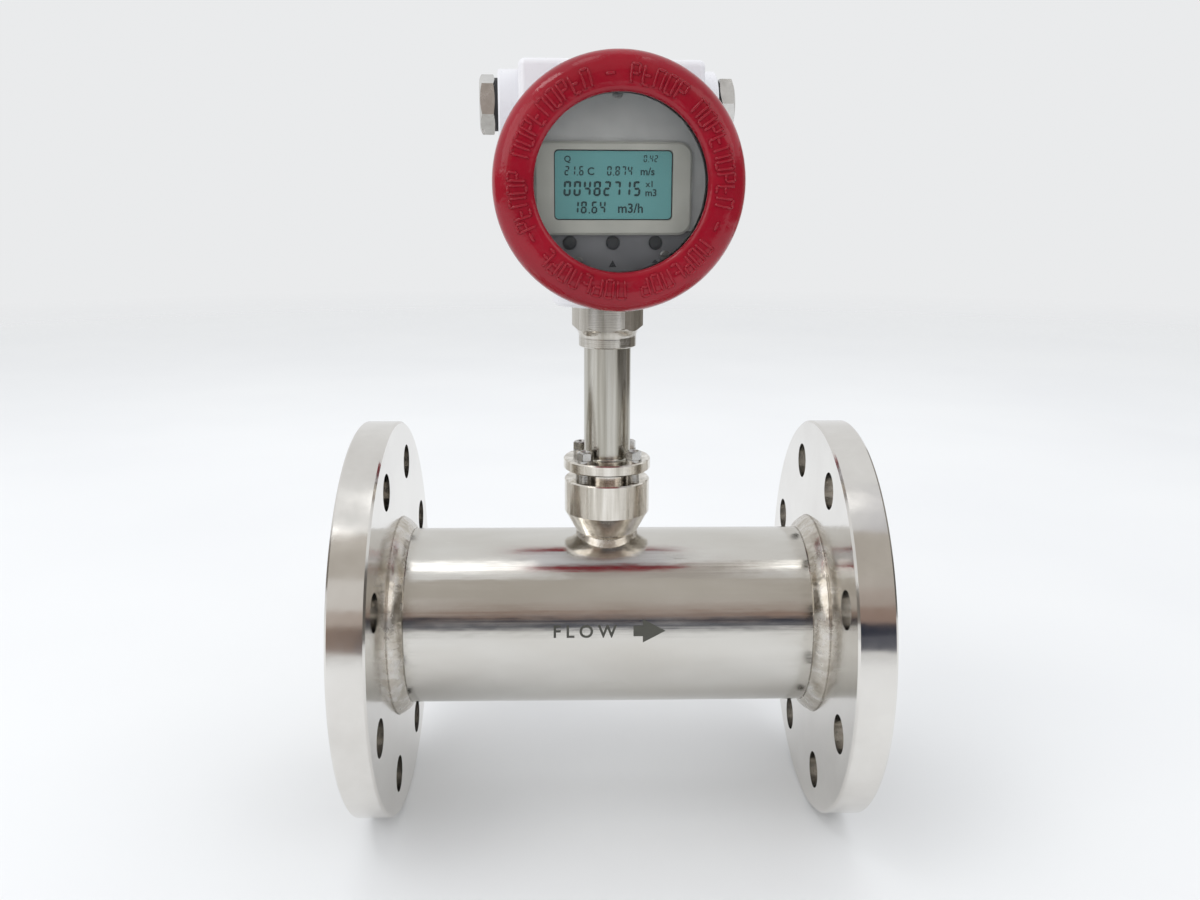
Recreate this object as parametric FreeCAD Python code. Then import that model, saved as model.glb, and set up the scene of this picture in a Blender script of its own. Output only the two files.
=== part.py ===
"""Flanged in-line turbine flow meter with a stem-mounted display head.

Frame: millimetres. The origin is on the floor under the stem, midway between the flanges. +X runs along the
flow, +Z points up to the display head, and the front of the head looks towards -Y.
Pipe pieces are drawn about Z, starting from the inlet's sealing face, and then laid along X. Stem pieces are
drawn about the stem axis with heights over the pipe axis. Head pieces are drawn in the face frame: x to the
right, y up, z out of the display.
"""

import FreeCAD, Part

import math
import os

Vec = FreeCAD.Vector
X_DIR, Y_DIR, Z_DIR = Vec(1, 0, 0), Vec(0, 1, 0), Vec(0, 0, 1)
ORIGIN = Vec(0, 0, 0)

# ---------------------------------------------------------------- clearances
slip = 0.3            # between a moving piece and what it moves past
running = 0.05        # radial, shaft in bush
thread_play = 0.1     # radial, a screwed or located pair drawn without its thread
tiny = 0.05           # axial, pieces stacked in one body

# ---------------------------------------------------------------- flow tube and flanges
face_to_face = 250.0
tube_od = 88.9
tube_wall = 4.45
seat_depth = 1.0      # the guide bores are wider than the rotor bore by this, radially
tube_end_recess = 6.0
flange_od = 200.0
flange_rim = 17.5
raised_face_d = 138.0
raised_face_h = 2.0
flange_gap = 0.5      # radial, tube to flange bore
flange_chamfer = 1.0
bolt_circle_d = 160.0
bolt_hole_d = 18.0
bolt_count = 8
face_weld_leg = 5.0
outer_weld_leg = 6.2
outer_weld_run = 6.8

# ---------------------------------------------------------------- turbine
rotor_len = 23.0
hub_d = 30.0
hub_bore_d = 11.0
blade_count = 8
blade_len = 18.0
blade_t = 1.6
blade_lead = 240.0
blade_tip_gap = 1.2
blade_sections = 5
shaft_d = 6.0
shaft_len = 46.0
shaft_collar_d = 9.0
shaft_collar_len = 0.7
rotor_end_gap = 1.0
bush_len = 11.0
thrust_pad_len = 2.5
thrust_gap = 0.1      # axial, shaft end to pad
guide_len = 46.0
guide_vanes = 6
vane_t = 2.0
vane_len = 36.0
nose_len = 26.0
nose_spigot_d = 8.0
nose_spigot_len = 7.0
circlip_t = 2.0
circlip_groove = 1.2
circlip_radial = 3.6
circlip_gap_deg = 22.0
circlip_lug_r = 4.2
circlip_lug_hole_d = 2.5

# ---------------------------------------------------------------- sensor boss and stem
assembly_turn = 4.0   # the boss pattern, stem and head stand this many degrees round from square
boss_d = 42.6
boss_top = 73.5       # heights are above the pipe axis
boss_cyl_h = 16.9
boss_foot_d = 29.0
boss_foot_h = 44.5
boss_edge = 0.6
boss_weld_w = 2.8
boss_weld_h = 2.6
pocket_d = 20.0
pocket_web = 2.2      # metal left between the pocket and the rotor bore
seat_bore_d = 26.4
seat_bore_h = 13.5
plate_d = 43.4
plate_t = 5.5
plate_gap = 5.0
spigot_bore_d = 12.0
seal_t = 1.5
stem_bolt_circle_d = 34.2
stem_bolt_count = 4
stem_bolt_d = 5.0
stem_bolt_hole_d = 5.5
stem_bolt_af = 7.0
stem_bolt_head_h = 4.2
stem_bolt_dish = 0.8
stem_bolt_reach = 10.5
stem_washer_d = 8.0
stem_washer_t = 1.2
stem_od = 23.0
stem_wall = 2.0
stem_foot_fillet = 1.2
stem_socket = 5.0
collar_d = 28.0
collar_bottom = 139.8
collar_h = 4.2
flare_h = 6.0
adapter_af = 30.0
adapter_hex_h = 10.2
adapter_turn = -7.0
adapter_edge = 1.0
adapter_thread_d = 22.0
adapter_thread_len = 11.5
adapter_bore_d = 9.0

# ---------------------------------------------------------------- pickup
pickup_wall = 1.3
pickup_rim_t = 2.0
pole_d = 4.0
pole_len = 8.0
magnet_d = 8.0
magnet_len = 6.0
bobbin_wall = 0.8
winding_t = 2.6
lead_d = 4.0
lead_rise = 23.7
connector_d = 8.0
connector_len = 7.0

# ---------------------------------------------------------------- head housing
head_rise = 55.9      # from the underside of the head's foot up to its centre
barrel_d = 94.0
barrel_half = 33.6
neck_ring_d = 95.4    # male neck that each cover screws on to
cavity_d = 83.0
partition_front = 4.0
partition_back = 1.0
block_w = 84.0
block_top = 54.5
block_front = 20.0
block_back = -31.0
block_edge = 3.0
port_up = 36.6
port_back = -10.0
port_d = 32.0
port_edge = 0.8
port_half = 51.2
port_bore_d = 20.0
lip_d = 101.0
lip_t = 3.0
foot_d = 53.0
foot_edge = 1.5
foot_fillet_h = 8.0
foot_bore_h = 12.6
wire_slot_d = 10.0
wire_slot_below = 9.0
earth_boss_d = 11.0
earth_x = 24.0
earth_back = -26.0
earth_up = 1.5

# ---------------------------------------------------------------- covers
cover_od = 109.0
cover_len = 25.6
cover_front_r = 9.0
cover_lip_r = 2.5
cover_face_dip = 1.0
window_d = 74.0
glass_d = 81.0
glass_t = 4.0
gasket_t = 0.8
cover_lip_t = 3.0
retainer_t = 2.4
flute_count = 90
flute_r = 1.5
flute_depth = 0.6
flute_band = 12.0
cover_pitch = 1.5
cover_turns = 8
rear_cap_t = 6.0
rear_dome = 3.0
o_ring_d = 2.4
rear_hub_d = 60.0
rear_hub_dip = 1.6
slip_ring_t = 0.8
slip_ring_w = 6.5

# ---------------------------------------------------------------- port plugs
plug_af = 24.0
plug_head_h = 7.0
plug_edge = 1.2
plug_thread_len = 11.0
plug_gasket_t = 1.5
plug_gasket_d = 24.0
left_plug_turn = 38.0
right_plug_turn = -2.0

# ---------------------------------------------------------------- display and boards
panel_d = 80.6
panel_t = 1.5
display_x = -1.8       # the screen and buttons stand off the head's axis by this much
panel_front = 39.5
bezel_w = 69.0
bezel_h = 39.6
bezel_up = -2.0
bezel_t = 3.0
bezel_corner = 6.0
bezel_edge = 1.0
screen_w = 52.0
screen_h = 29.8
screen_up = -0.5
screen_corner = 2.0
screen_sunk = 1.2
button_d = 5.6
button_pitch = 19.1
button_up = -25.2
button_proud = 1.4
button_len = 5.6
button_travel = 1.0
button_dome = 0.5
button_skirt = 0.9
button_skirt_t = 1.2
switch_side = 6.0
board_t = 1.6
board_d = 81.0
display_board_front = 31.0
main_board_front = 19.0
post_circle_d = 75.4
post_d = 5.0
post_screw_d = 3.0
post_head_d = 4.6
post_head_t = 1.2
post_angles = (90.0, 243.0, 305.0)
chip_w = 14.0
chip_t = 1.8
driver_w = 10.0
capacitor_d = 6.0
capacitor_h = 7.5
capacitor_pitch = 8.0
board_lead_d = 3.0
board_lead_bend = 12.0
terminal_board_w = 58.0
terminal_board_h = 34.0
terminal_board_front = -9.0
terminal_post_d = 6.0
terminal_post_x = 24.0
terminal_w = 40.0
terminal_h = 12.0
terminal_depth = 11.0
terminal_up = -2.0
terminal_ways = 4
terminal_screw_d = 4.2
terminal_fixing_d = 3.0
terminal_wire_d = 4.0
lock_screw_d = 4.0
lock_screw_up = 5.5
earth_screw_d = 5.0
earth_head_d = 9.0
earth_head_t = 2.4
earth_washer_d = 10.0
earth_washer_t = 1.0

# ---------------------------------------------------------------- worked-out sizes
tube_r = tube_od / 2
rotor_bore_r = tube_r - tube_wall
guide_bore_r = rotor_bore_r + seat_depth
flange_t = flange_rim + raised_face_h
half_run = face_to_face / 2
axis_height = flange_od / 2
hub_r = hub_d / 2
plate_bottom = boss_top + plate_gap
plate_top = plate_bottom + plate_t
pocket_floor = rotor_bore_r + pocket_web
seat_floor = boss_top - seat_bore_h
hex_bottom = collar_bottom + collar_h + flare_h
hex_top = hex_bottom + adapter_hex_h
bolt_under_head = plate_top + stem_washer_t
guide_inner_end = half_run - rotor_len / 2 - rotor_end_gap   # where the inlet guide's hub meets the rotor
guide_shoulder = guide_inner_end - 8.0
cover_front = barrel_half + tiny * 4 + cover_len
foot_bottom = hex_top + thread_play
head_height = foot_bottom + head_rise
lead_top = foot_bottom + lead_rise
wire_slot_top = head_height - wire_slot_below
earth_low = head_height - lip_d / 2 + earth_up
glass_seat = cover_front - cover_lip_t
cover_step = glass_seat - gasket_t - glass_t - retainer_t
neck_ring_half = cover_step - tiny - o_ring_d


# ---------------------------------------------------------------- small drawing helpers
def closed_face(start, *steps):
    """A face in the (radius, height) half-plane. A step is a point, or (through, end) for an arc."""
    edges, here = [], Vec(start[0], 0, start[1])
    for step in steps + (start,):
        if isinstance(step[0], tuple):
            through, end = (Vec(p[0], 0, p[1]) for p in step)
            edges.append(Part.Arc(here, through, end).toShape())
        else:
            end = Vec(step[0], 0, step[1])
            edges.append(Part.LineSegment(here, end).toShape())
        here = end
    return Part.Face(Part.Wire(edges))


def lathe(start, *steps):
    """A turned piece about Z from its half-section."""
    return closed_face(start, *steps).revolve(ORIGIN, Z_DIR, 360)


def rod(radius, low, high):
    return Part.makeCylinder(radius, high - low, Vec(0, 0, low), Z_DIR)


def tube(outer, inner, low, high):
    return rod(outer, low, high).cut(rod(inner, low - 1, high + 1))


def moved(shape, x=0.0, y=0.0, z=0.0):
    copy = shape.copy()
    copy.translate(Vec(x, y, z))
    return copy


def spun(shape, axis, degrees, centre=ORIGIN):
    copy = shape.copy()
    copy.rotate(centre, axis, degrees)
    return copy


def copies_round(shape, count, axis=Z_DIR, first=0.0):
    return [spun(shape, axis, first + 360.0 * n / count) for n in range(count)]


def prism(across_flats, low, high, turn=0.0):
    """A hexagonal bar about Z. At turn 0 two corners lie on the X axis."""
    corner = across_flats / math.sqrt(3)
    points = [Vec(corner * math.cos(math.radians(turn + 60 * n)),
                  corner * math.sin(math.radians(turn + 60 * n)), low) for n in range(7)]
    return Part.Face(Part.makePolygon(points)).extrude(Vec(0, 0, high - low))


def hex_head(across_flats, low, high, edge, turn=0.0):
    """A hexagon with both ends turned down to a cone, as a spanner hexagon has."""
    corner = across_flats / math.sqrt(3) + 0.1
    blank = lathe((0, low), (across_flats / 2, low), (corner, low + edge * 0.5), (corner, high - edge),
                  (across_flats / 2 - edge * 0.6, high), (0, high))
    return prism(across_flats, low, high, turn).common(blank)


def rounded_plate(width, height, corner, low, high):
    """A rectangle with round corners in the XY plane, from low to high in Z."""
    x, y, k = width / 2, height / 2, corner * (1 - math.sqrt(0.5))
    edges = []
    ends = []
    for sx, sy in ((1, 1), (-1, 1), (-1, -1), (1, -1)):
        side, top = Vec(sx * x, sy * (y - corner), low), Vec(sx * (x - corner), sy * y, low)
        middle = Vec(sx * (x - k), sy * (y - k), low)
        first, last = (side, top) if sx * sy > 0 else (top, side)
        ends.append((first, middle, last))
    for n, (first, middle, last) in enumerate(ends):
        edges.append(Part.Arc(first, middle, last).toShape())
        edges.append(Part.LineSegment(last, ends[(n + 1) % 4][0]).toShape())
    return Part.Face(Part.Wire(edges)).extrude(Vec(0, 0, high - low))


def bar(width, height, depth, x=0.0, y=0.0, z=0.0):
    """A box centred on x and y, from z to z + depth."""
    return Part.makeBox(width, height, depth, Vec(x - width / 2, y - height / 2, z))


def along_pipe(shape):
    """Lays a piece drawn about Z along the pipe, its zero height at the inlet's sealing face."""
    return moved(spun(shape, Y_DIR, 90), x=-half_run, z=axis_height)


def on_stem(shape):
    """Places a piece drawn about the stem axis."""
    return moved(spun(shape, Z_DIR, assembly_turn), z=axis_height)


def on_head(shape):
    """Places a piece drawn in the face frame."""
    return on_stem(moved(spun(shape, X_DIR, 90), z=head_height))


def mirrored_along(shape):
    """The same piece at the outlet end, mirrored about the middle of the tube."""
    return shape.mirror(ORIGIN, X_DIR)


# ---------------------------------------------------------------- pipe section
def flow_tube():
    low, high = tube_end_recess, face_to_face - tube_end_recess
    body = rod(tube_r, low, high).cut(rod(rotor_bore_r, low - 1, high + 1))
    groove_r, groove_high = guide_bore_r + circlip_groove, groove_low() + circlip_t + 2 * tiny
    body = body.cut([rod(guide_bore_r, 0, guide_shoulder), rod(groove_r, groove_low(), groove_high),
                     rod(guide_bore_r, face_to_face - guide_shoulder, face_to_face),
                     rod(groove_r, face_to_face - groove_high, face_to_face - groove_low())])
    return along_pipe(body).cut(on_stem(rod(pocket_d / 2, pocket_floor, tube_r + 1)))


def guide_outer_end():
    return guide_shoulder - vane_len


def groove_low():
    return guide_outer_end() - circlip_t - 2 * tiny


def flange():
    """The inlet flange: a flat plate with a raised face, bored to slip over the tube."""
    rim, rise, c = flange_od / 2, raised_face_h, flange_chamfer
    bore = tube_r + flange_gap
    body = lathe((bore, 0), (raised_face_d / 2, 0), (raised_face_d / 2, rise), (rim - c, rise),
                 (rim, rise + c), (rim, flange_t - c), (rim - c, flange_t), (bore, flange_t))
    hole = moved(rod(bolt_hole_d / 2, rise - 1, flange_t + 1), x=bolt_circle_d / 2)
    return along_pipe(body.cut(copies_round(hole, bolt_count, first=180.0 / bolt_count)))


def outer_weld():
    """The fillet bead where the tube enters the flange's inner face."""
    high, far = tube_r + outer_weld_leg, flange_t + outer_weld_run
    bulge = (tube_r + outer_weld_leg * 0.6, flange_t + outer_weld_run * 0.6)
    return along_pipe(lathe((tube_r, flange_t), (high, flange_t), (bulge, (tube_r, far))))


def face_weld():
    """The inner fillet between the tube's end and the flange bore."""
    bore = tube_r + flange_gap
    start = tube_end_recess - face_weld_leg
    hollow = (bore - face_weld_leg * 0.25, tube_end_recess - face_weld_leg * 0.25)
    return along_pipe(lathe((bore, start), (hollow, (bore - face_weld_leg * 0.7, tube_end_recess)),
                            (bore, tube_end_recess)))


# ---------------------------------------------------------------- turbine
def rotor():
    """Hub with helical blades. Each is a radial plate twisted along the axis and trimmed to a round tip."""
    tip = rotor_bore_r - blade_tip_gap
    start = half_run - blade_len / 2
    sections = []
    for n in range(blade_sections):
        reach = n / (blade_sections - 1)
        thick = blade_t * (0.55 + 0.45 * math.sin(math.pi * (0.15 + 0.7 * reach)))
        points = [Vec(hub_r - 2, -thick / 2, 0), Vec(tip + 3, -thick / 2, 0),
                  Vec(tip + 3, thick / 2, 0), Vec(hub_r - 2, thick / 2, 0), Vec(hub_r - 2, -thick / 2, 0)]
        wire = Part.makePolygon(points)
        wire.rotate(ORIGIN, Z_DIR, 360.0 * blade_len * reach / blade_lead)
        wire.translate(Vec(0, 0, start + blade_len * reach))
        sections.append(wire)
    blade = Part.makeLoft(sections, True, False).common(rod(tip, start - 1, start + blade_len + 1))
    low, high = half_run - rotor_len / 2, half_run + rotor_len / 2
    hub = lathe((shaft_d / 2, low), (hub_r - 0.8, low), (hub_r, low + 0.8), (hub_r, high - 0.8),
                (hub_r - 0.8, high), (shaft_d / 2, high))
    return along_pipe(hub.fuse(copies_round(blade, blade_count)).removeSplitter())


def rotor_shaft():
    half, collar = shaft_len / 2, rotor_len / 2
    shaft = rod(shaft_d / 2, half_run - half, half_run + half)
    for low in (half_run - collar - shaft_collar_len, half_run + collar):
        shaft = shaft.fuse(rod(shaft_collar_d / 2, low, low + shaft_collar_len))
    return along_pipe(shaft)


def guide():
    """The inlet flow guide: a hub on straight radial vanes that seat against the step in the tube."""
    end, reach = guide_inner_end, guide_bore_r - thread_play
    hub = rod(hub_r, end - guide_len, end)
    vane = Part.makeBox(reach + 2, vane_t, vane_len, Vec(0, -vane_t / 2, guide_outer_end()))
    vanes = copies_round(vane, guide_vanes, first=30)
    body = hub.fuse([v.common(rod(reach, guide_outer_end() - 1, guide_shoulder + 1)) for v in vanes])
    bush_back = end - bush_len - thrust_pad_len
    body = body.cut([rod(hub_bore_d / 2, bush_back, end + 1),
                     rod(nose_spigot_d / 2, end - guide_len - 1, end - guide_len + nose_spigot_len + tiny)])
    return along_pipe(body.removeSplitter())


def nose_cone():
    """The bullet that parts the flow in front of the guide hub, with its threaded spigot."""
    end = guide_inner_end - guide_len
    tip, blunt = end - nose_len, 3.0
    spigot = nose_spigot_d / 2 - thread_play
    swell = (hub_r * 0.80, end - nose_len * 0.52)
    return along_pipe(lathe((0, tip), (blunt, tip + 0.8), (swell, (hub_r, end - tiny)), (spigot, end - tiny),
                            (spigot, end + nose_spigot_len), (0, end + nose_spigot_len)))


def bush():
    end = guide_inner_end
    return along_pipe(tube(hub_bore_d / 2, shaft_d / 2 + running, end - bush_len, end))


def thrust_pad():
    """The hard disc that the end of the shaft runs against."""
    back = guide_inner_end - bush_len - thrust_pad_len
    seat = guide_inner_end - bush_len
    tip = half_run - shaft_len / 2 - thrust_gap
    return along_pipe(lathe((0, back), (hub_bore_d / 2, back), (hub_bore_d / 2, seat), (shaft_d / 2, seat),
                            (0, tip)))


def circlip():
    """An internal spring ring with two plier lugs, sprung into the groove in the tube."""
    low = groove_low() + tiny
    outer = guide_bore_r + circlip_groove - thread_play
    inner = outer - circlip_radial
    ring = tube(outer, inner, low, low + circlip_t)
    gap = Part.makeCylinder(outer + 2, circlip_t + 2, Vec(0, 0, low - 1), Z_DIR, circlip_gap_deg)
    ring = ring.cut(spun(gap, Z_DIR, -circlip_gap_deg / 2))
    lug_at = circlip_gap_deg / 2 + 3.5
    lug = moved(rod(circlip_lug_r, low, low + circlip_t), x=inner)
    hole = moved(rod(circlip_lug_hole_d / 2, low - 1, low + circlip_t + 1), x=inner - 1)
    lugs = [spun(lug, Z_DIR, s * lug_at).common(rod(outer, low, low + circlip_t)) for s in (-1, 1)]
    keep_off = spun(gap, Z_DIR, -circlip_gap_deg / 2)
    ring = ring.fuse([piece.cut(keep_off) for piece in lugs])
    return along_pipe(ring.cut([spun(hole, Z_DIR, s * lug_at) for s in (-1, 1)]))


# ---------------------------------------------------------------- boss, stem and adapter
def stem_bolt_places(shape):
    return [moved(shape, x=stem_bolt_circle_d / 2 * math.cos(math.radians(45 + 360.0 * n / stem_bolt_count)),
                  y=stem_bolt_circle_d / 2 * math.sin(math.radians(45 + 360.0 * n / stem_bolt_count)))
            for n in range(stem_bolt_count)]


def cone_radius(height):
    """The boss's radius where its skirt tapers to its foot."""
    top = boss_top - boss_cyl_h
    share = (top - height) / (top - boss_foot_h)
    return boss_d / 2 + (boss_foot_d - boss_d) / 2 * share


def sensor_boss():
    top, shoulder, root = boss_top, boss_top - boss_cyl_h, tube_r * 0.8
    body = lathe((0, root), (cone_radius(root), root), (boss_d / 2, shoulder), (boss_d / 2, top - boss_edge),
                 (boss_d / 2 - boss_edge, top), (0, top))
    body = on_stem(body).cut(along_pipe(rod(tube_r, 0, face_to_face)))
    tapped = rod(stem_bolt_d / 2 + running, boss_top - stem_bolt_reach - 1.5, boss_top + 1)
    holes = [rod(pocket_d / 2, root - 1, top + 1), rod(seat_bore_d / 2, seat_floor, top + 1)]
    return body.cut([on_stem(h) for h in holes + stem_bolt_places(tapped)])


def boss_weld():
    """The saddle bead round the foot of the boss, lying on the tube."""
    foot = cone_radius(tube_r)
    ring = rod(foot + boss_weld_w, tube_r * 0.8, tube_r + boss_weld_h + 1)
    shell = rod(tube_r + boss_weld_h, 0, face_to_face).cut(rod(tube_r, -1, face_to_face + 1))
    low, high = tube_r * 0.8, boss_top - boss_cyl_h
    skirt = lathe((0, low), (cone_radius(low), low), (boss_d / 2, high), (0, high))
    slope = lathe((0, low), (foot + boss_weld_w + 2.2, low), (foot - 0.4, tube_r + boss_weld_h + 0.4),
                  (0, tube_r + boss_weld_h + 0.4))
    bead = on_stem(ring.common(slope)).common(along_pipe(shell))
    return bead.cut(on_stem(skirt))


def stem_plate():
    """The round plate at the foot of the stem, with the spigot that clamps the pickup."""
    spigot = seat_bore_d / 2 - thread_play
    spigot_end = seat_floor + seal_t + pickup_rim_t + tiny
    edge = boss_edge
    body = lathe((spigot_bore_d / 2, spigot_end), (spigot, spigot_end), (spigot, plate_bottom),
                 (plate_d / 2 - edge, plate_bottom), (plate_d / 2, plate_bottom + edge),
                 (plate_d / 2, plate_top - edge), (plate_d / 2 - edge, plate_top),
                 (spigot_bore_d / 2, plate_top))
    return on_stem(body.cut(stem_bolt_places(rod(stem_bolt_hole_d / 2, plate_bottom - 1, plate_top + 1))))


def stem_bolts():
    head_top = bolt_under_head + stem_bolt_head_h
    head = hex_head(stem_bolt_af, bolt_under_head, head_top, 0.7, turn=12)
    dish = lathe((0, head_top - stem_bolt_dish), (1.6, head_top - stem_bolt_dish), (2.4, head_top + 0.01),
                 (0, head_top + 0.01))
    bolt = head.cut(dish).fuse(rod(stem_bolt_d / 2, boss_top - stem_bolt_reach, bolt_under_head))
    return Part.makeCompound([on_stem(b) for b in stem_bolt_places(bolt)])


def stem_washers():
    """Split spring washers under the bolt heads."""
    ring = tube(stem_washer_d / 2, stem_bolt_hole_d / 2, plate_top, bolt_under_head)
    slit = bar(stem_washer_d, 0.6, stem_washer_t + 2, x=stem_washer_d / 2, z=plate_top - 1)
    return Part.makeCompound([on_stem(w) for w in stem_bolt_places(ring.cut(slit))])


def stem_tube():
    outer, inner, f = stem_od / 2, stem_od / 2 - stem_wall, stem_foot_fillet
    top = collar_bottom + stem_socket
    hollow = (outer + f * (1 - math.sqrt(0.5)), plate_top + f * (1 - math.sqrt(0.5)))
    return on_stem(lathe((inner, plate_top), (outer + f, plate_top), (hollow, (outer, plate_top + f)),
                         (outer, top), (inner, top)))


def hex_adapter():
    """The hexagon under the head: a collar that flares into the spanner flats, and a threaded top."""
    corner = adapter_af / math.sqrt(3) + 0.1
    collar, thread = collar_d / 2, adapter_thread_d / 2
    flare_low, edge = collar_bottom + collar_h, adapter_edge
    sweep = (collar + (corner - collar) * 0.30, flare_low + flare_h * 0.66)
    body = lathe((0, collar_bottom), (collar - 0.5, collar_bottom), (collar, collar_bottom + 0.5),
                 (collar, flare_low), (sweep, (corner, hex_bottom)), (corner, hex_top - edge),
                 (adapter_af / 2, hex_top), (0, hex_top))
    body = body.common(prism(adapter_af, collar_bottom - 1, hex_top + 1, adapter_turn))
    body = body.fuse(rod(thread, hex_top, hex_top + adapter_thread_len))
    socket_top = collar_bottom + stem_socket
    return on_stem(body.cut([rod(stem_od / 2, collar_bottom - 1, socket_top),
                             rod(adapter_bore_d / 2, socket_top - 1, hex_top + adapter_thread_len + 1)]))


# ---------------------------------------------------------------- pickup, in the pocket over the rotor
def pickup_floor():
    return pocket_floor + tiny


def pickup_can():
    """The thin cup that carries the coil, with a rim that the spigot clamps."""
    outer, inner = pocket_d / 2 - thread_play, pocket_d / 2 - thread_play - pickup_wall
    low, rim_low = pickup_floor(), seat_floor + seal_t
    rim, top = seat_bore_d / 2 - thread_play, seat_floor + seal_t + pickup_rim_t
    return on_stem(lathe((0, low), (outer, low), (outer, rim_low), (rim, rim_low), (rim, top), (inner, top),
                         (inner, low + pickup_wall), (0, low + pickup_wall)))


def pickup_pieces():
    low = pickup_floor() + pickup_wall
    pole_top = low + pole_len
    bobbin_r, flange_r = pole_d / 2 + bobbin_wall, pocket_d / 2 - thread_play - pickup_wall - tiny
    wound_r = min(bobbin_r + winding_t, flange_r - 0.3)
    wound_low, wound_high = low + bobbin_wall, pole_top - bobbin_wall
    bobbin = lathe((pole_d / 2, low), (flange_r, low), (flange_r, wound_low), (bobbin_r, wound_low),
                   (bobbin_r, wound_high), (flange_r, wound_high), (flange_r, pole_top),
                   (pole_d / 2, pole_top))
    winding = tube(wound_r, bobbin_r, wound_low, wound_high)
    return {"pickup_pole": on_stem(rod(pole_d / 2, low, pole_top)), "pickup_bobbin": on_stem(bobbin),
            "pickup_winding": on_stem(winding),
            "pickup_magnet": on_stem(rod(magnet_d / 2, pole_top, pole_top + magnet_len))}


def pickup_seal():
    return on_stem(tube(seat_bore_d / 2 - tiny, pocket_d / 2, seat_floor, seat_floor + seal_t))


def signal_lead():
    """The screened lead up the stem, with the plug half that it ends in."""
    start = pickup_floor() + pickup_wall + pole_len + magnet_len
    plug = lathe((0, lead_top), (connector_d / 2 - 1, lead_top), (connector_d / 2, lead_top + 1),
                 (connector_d / 2, lead_top + connector_len), (0, lead_top + connector_len))
    return on_stem(rod(lead_d / 2, start, lead_top).fuse(plug))


# ---------------------------------------------------------------- head housing
def down(shape):
    """Turns a piece drawn about the stem axis, at its height over the pipe axis, into the face frame."""
    return spun(moved(shape, z=-head_height), X_DIR, -90)


def sideways(shape, side):
    """Turns a piece drawn about Z so that its Z points to the right (side 1) or left (side -1) port."""
    return moved(spun(shape, Y_DIR, 90 * side), y=port_up, z=port_back)


def head_housing():
    ring, barrel = neck_ring_d / 2, barrel_d / 2
    lip = lip_d / 2
    body = lathe((0, -neck_ring_half), (ring, -neck_ring_half), (ring, -barrel_half), (lip, -barrel_half),
                 (lip, -barrel_half + lip_t), (barrel, -barrel_half + lip_t + 3),
                 (barrel, barrel_half - lip_t - 3), (lip, barrel_half - lip_t), (lip, barrel_half),
                 (ring, barrel_half), (ring, neck_ring_half), (0, neck_ring_half))
    block = bar(block_w, block_top, block_front - block_back, y=block_top / 2, z=block_back)
    block = block.makeFillet(block_edge, block.Edges)
    port = lathe((0, 0), (port_d / 2, 0), (port_d / 2, port_half - port_edge),
                 (port_d / 2 - port_edge, port_half), (0, port_half))
    foot_top = head_height - barrel * 0.55
    foot_r = foot_d / 2
    foot = lathe((0, foot_bottom), (foot_r - foot_edge, foot_bottom), (foot_r, foot_bottom + foot_edge),
                 (foot_r, foot_bottom + foot_fillet_h), (foot_r + 5, foot_top), (0, foot_top))
    earth = moved(rod(earth_boss_d / 2, earth_low, head_height - barrel + 12), x=earth_x, y=-earth_back)
    body = body.fuse([block, sideways(port, 1), sideways(port, -1), down(foot), down(earth)])
    cavity = cavity_d / 2
    front_room = rod(cavity, partition_front, neck_ring_half + 1)
    rear_room = rod(cavity, -neck_ring_half - 1, partition_back)
    entry = rod(port_bore_d / 2, block_w / 4, port_half + 1)
    foot_bore = rod(adapter_thread_d / 2 + thread_play, foot_bottom - 1, foot_bottom + foot_bore_h)
    slot = rod(wire_slot_d / 2, foot_bottom, wire_slot_top)
    lock = down(moved(spun(rod(lock_screw_d / 2 + thread_play, 0, foot_d), Y_DIR, 90),
                      z=foot_bottom + lock_screw_up))
    tapping = rod(earth_screw_d / 2 + running, earth_low - 1, earth_low + 9)
    earth_hole = down(moved(tapping, x=earth_x, y=-earth_back))
    body = body.cut([front_room, rear_room, down(foot_bore), down(slot), lock, earth_hole])
    post = rod(terminal_post_d / 2, terminal_board_front + board_t, partition_back + 1)
    tapped = rod(terminal_fixing_d / 2 + running, terminal_board_front, partition_back + 1)
    for side in (-1, 1):
        body = body.fuse(moved(post, x=side * terminal_post_x))
        body = body.cut(moved(tapped, x=side * terminal_post_x))
    inner_port = [sideways(entry, side) for side in (1, -1)]
    return on_head(body.cut(inner_port).removeSplitter())


def lock_screw():
    """The grub screw that locks the head's foot on the adapter thread."""
    inner = adapter_thread_d / 2 + thread_play + tiny
    outer = foot_d / 2 - 1.0
    screw = rod(lock_screw_d / 2, inner, outer).cut(prism(2.0, outer - 2, outer + 1))
    return on_head(down(moved(spun(screw, Y_DIR, 90), z=foot_bottom + lock_screw_up)))


def earth_pieces():
    under = earth_low - earth_washer_t
    washer = tube(earth_washer_d / 2, earth_screw_d / 2 + running, under, earth_low)
    crown, rim = under - earth_head_t, earth_head_d / 2
    head = lathe((0, crown), (rim - 1.4, crown), ((rim - 0.4, under - earth_head_t * 0.7), (rim, under)),
                 (0, under))
    slot = bar(earth_head_d + 1, 1.2, 1.2, z=under - earth_head_t - 0.01)
    screw = head.cut(slot).fuse(rod(earth_screw_d / 2, under, earth_low + 8))
    return tuple(on_head(down(moved(piece, x=earth_x, y=-earth_back))) for piece in (screw, washer))


# ---------------------------------------------------------------- covers
def cover_blank(bore_r):
    """The outside of a cover, from its rim against the lip to its rounded front, about Z."""
    rim, front, outer = cover_front - cover_len, cover_front, cover_od / 2
    knee = cover_front_r * (1 - math.sqrt(0.5))
    return ((bore_r, rim), (outer - 0.6, rim), (outer, rim + 0.6), (outer, front - cover_front_r),
            ((outer - knee, front - knee), (outer - cover_front_r, front)))


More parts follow.
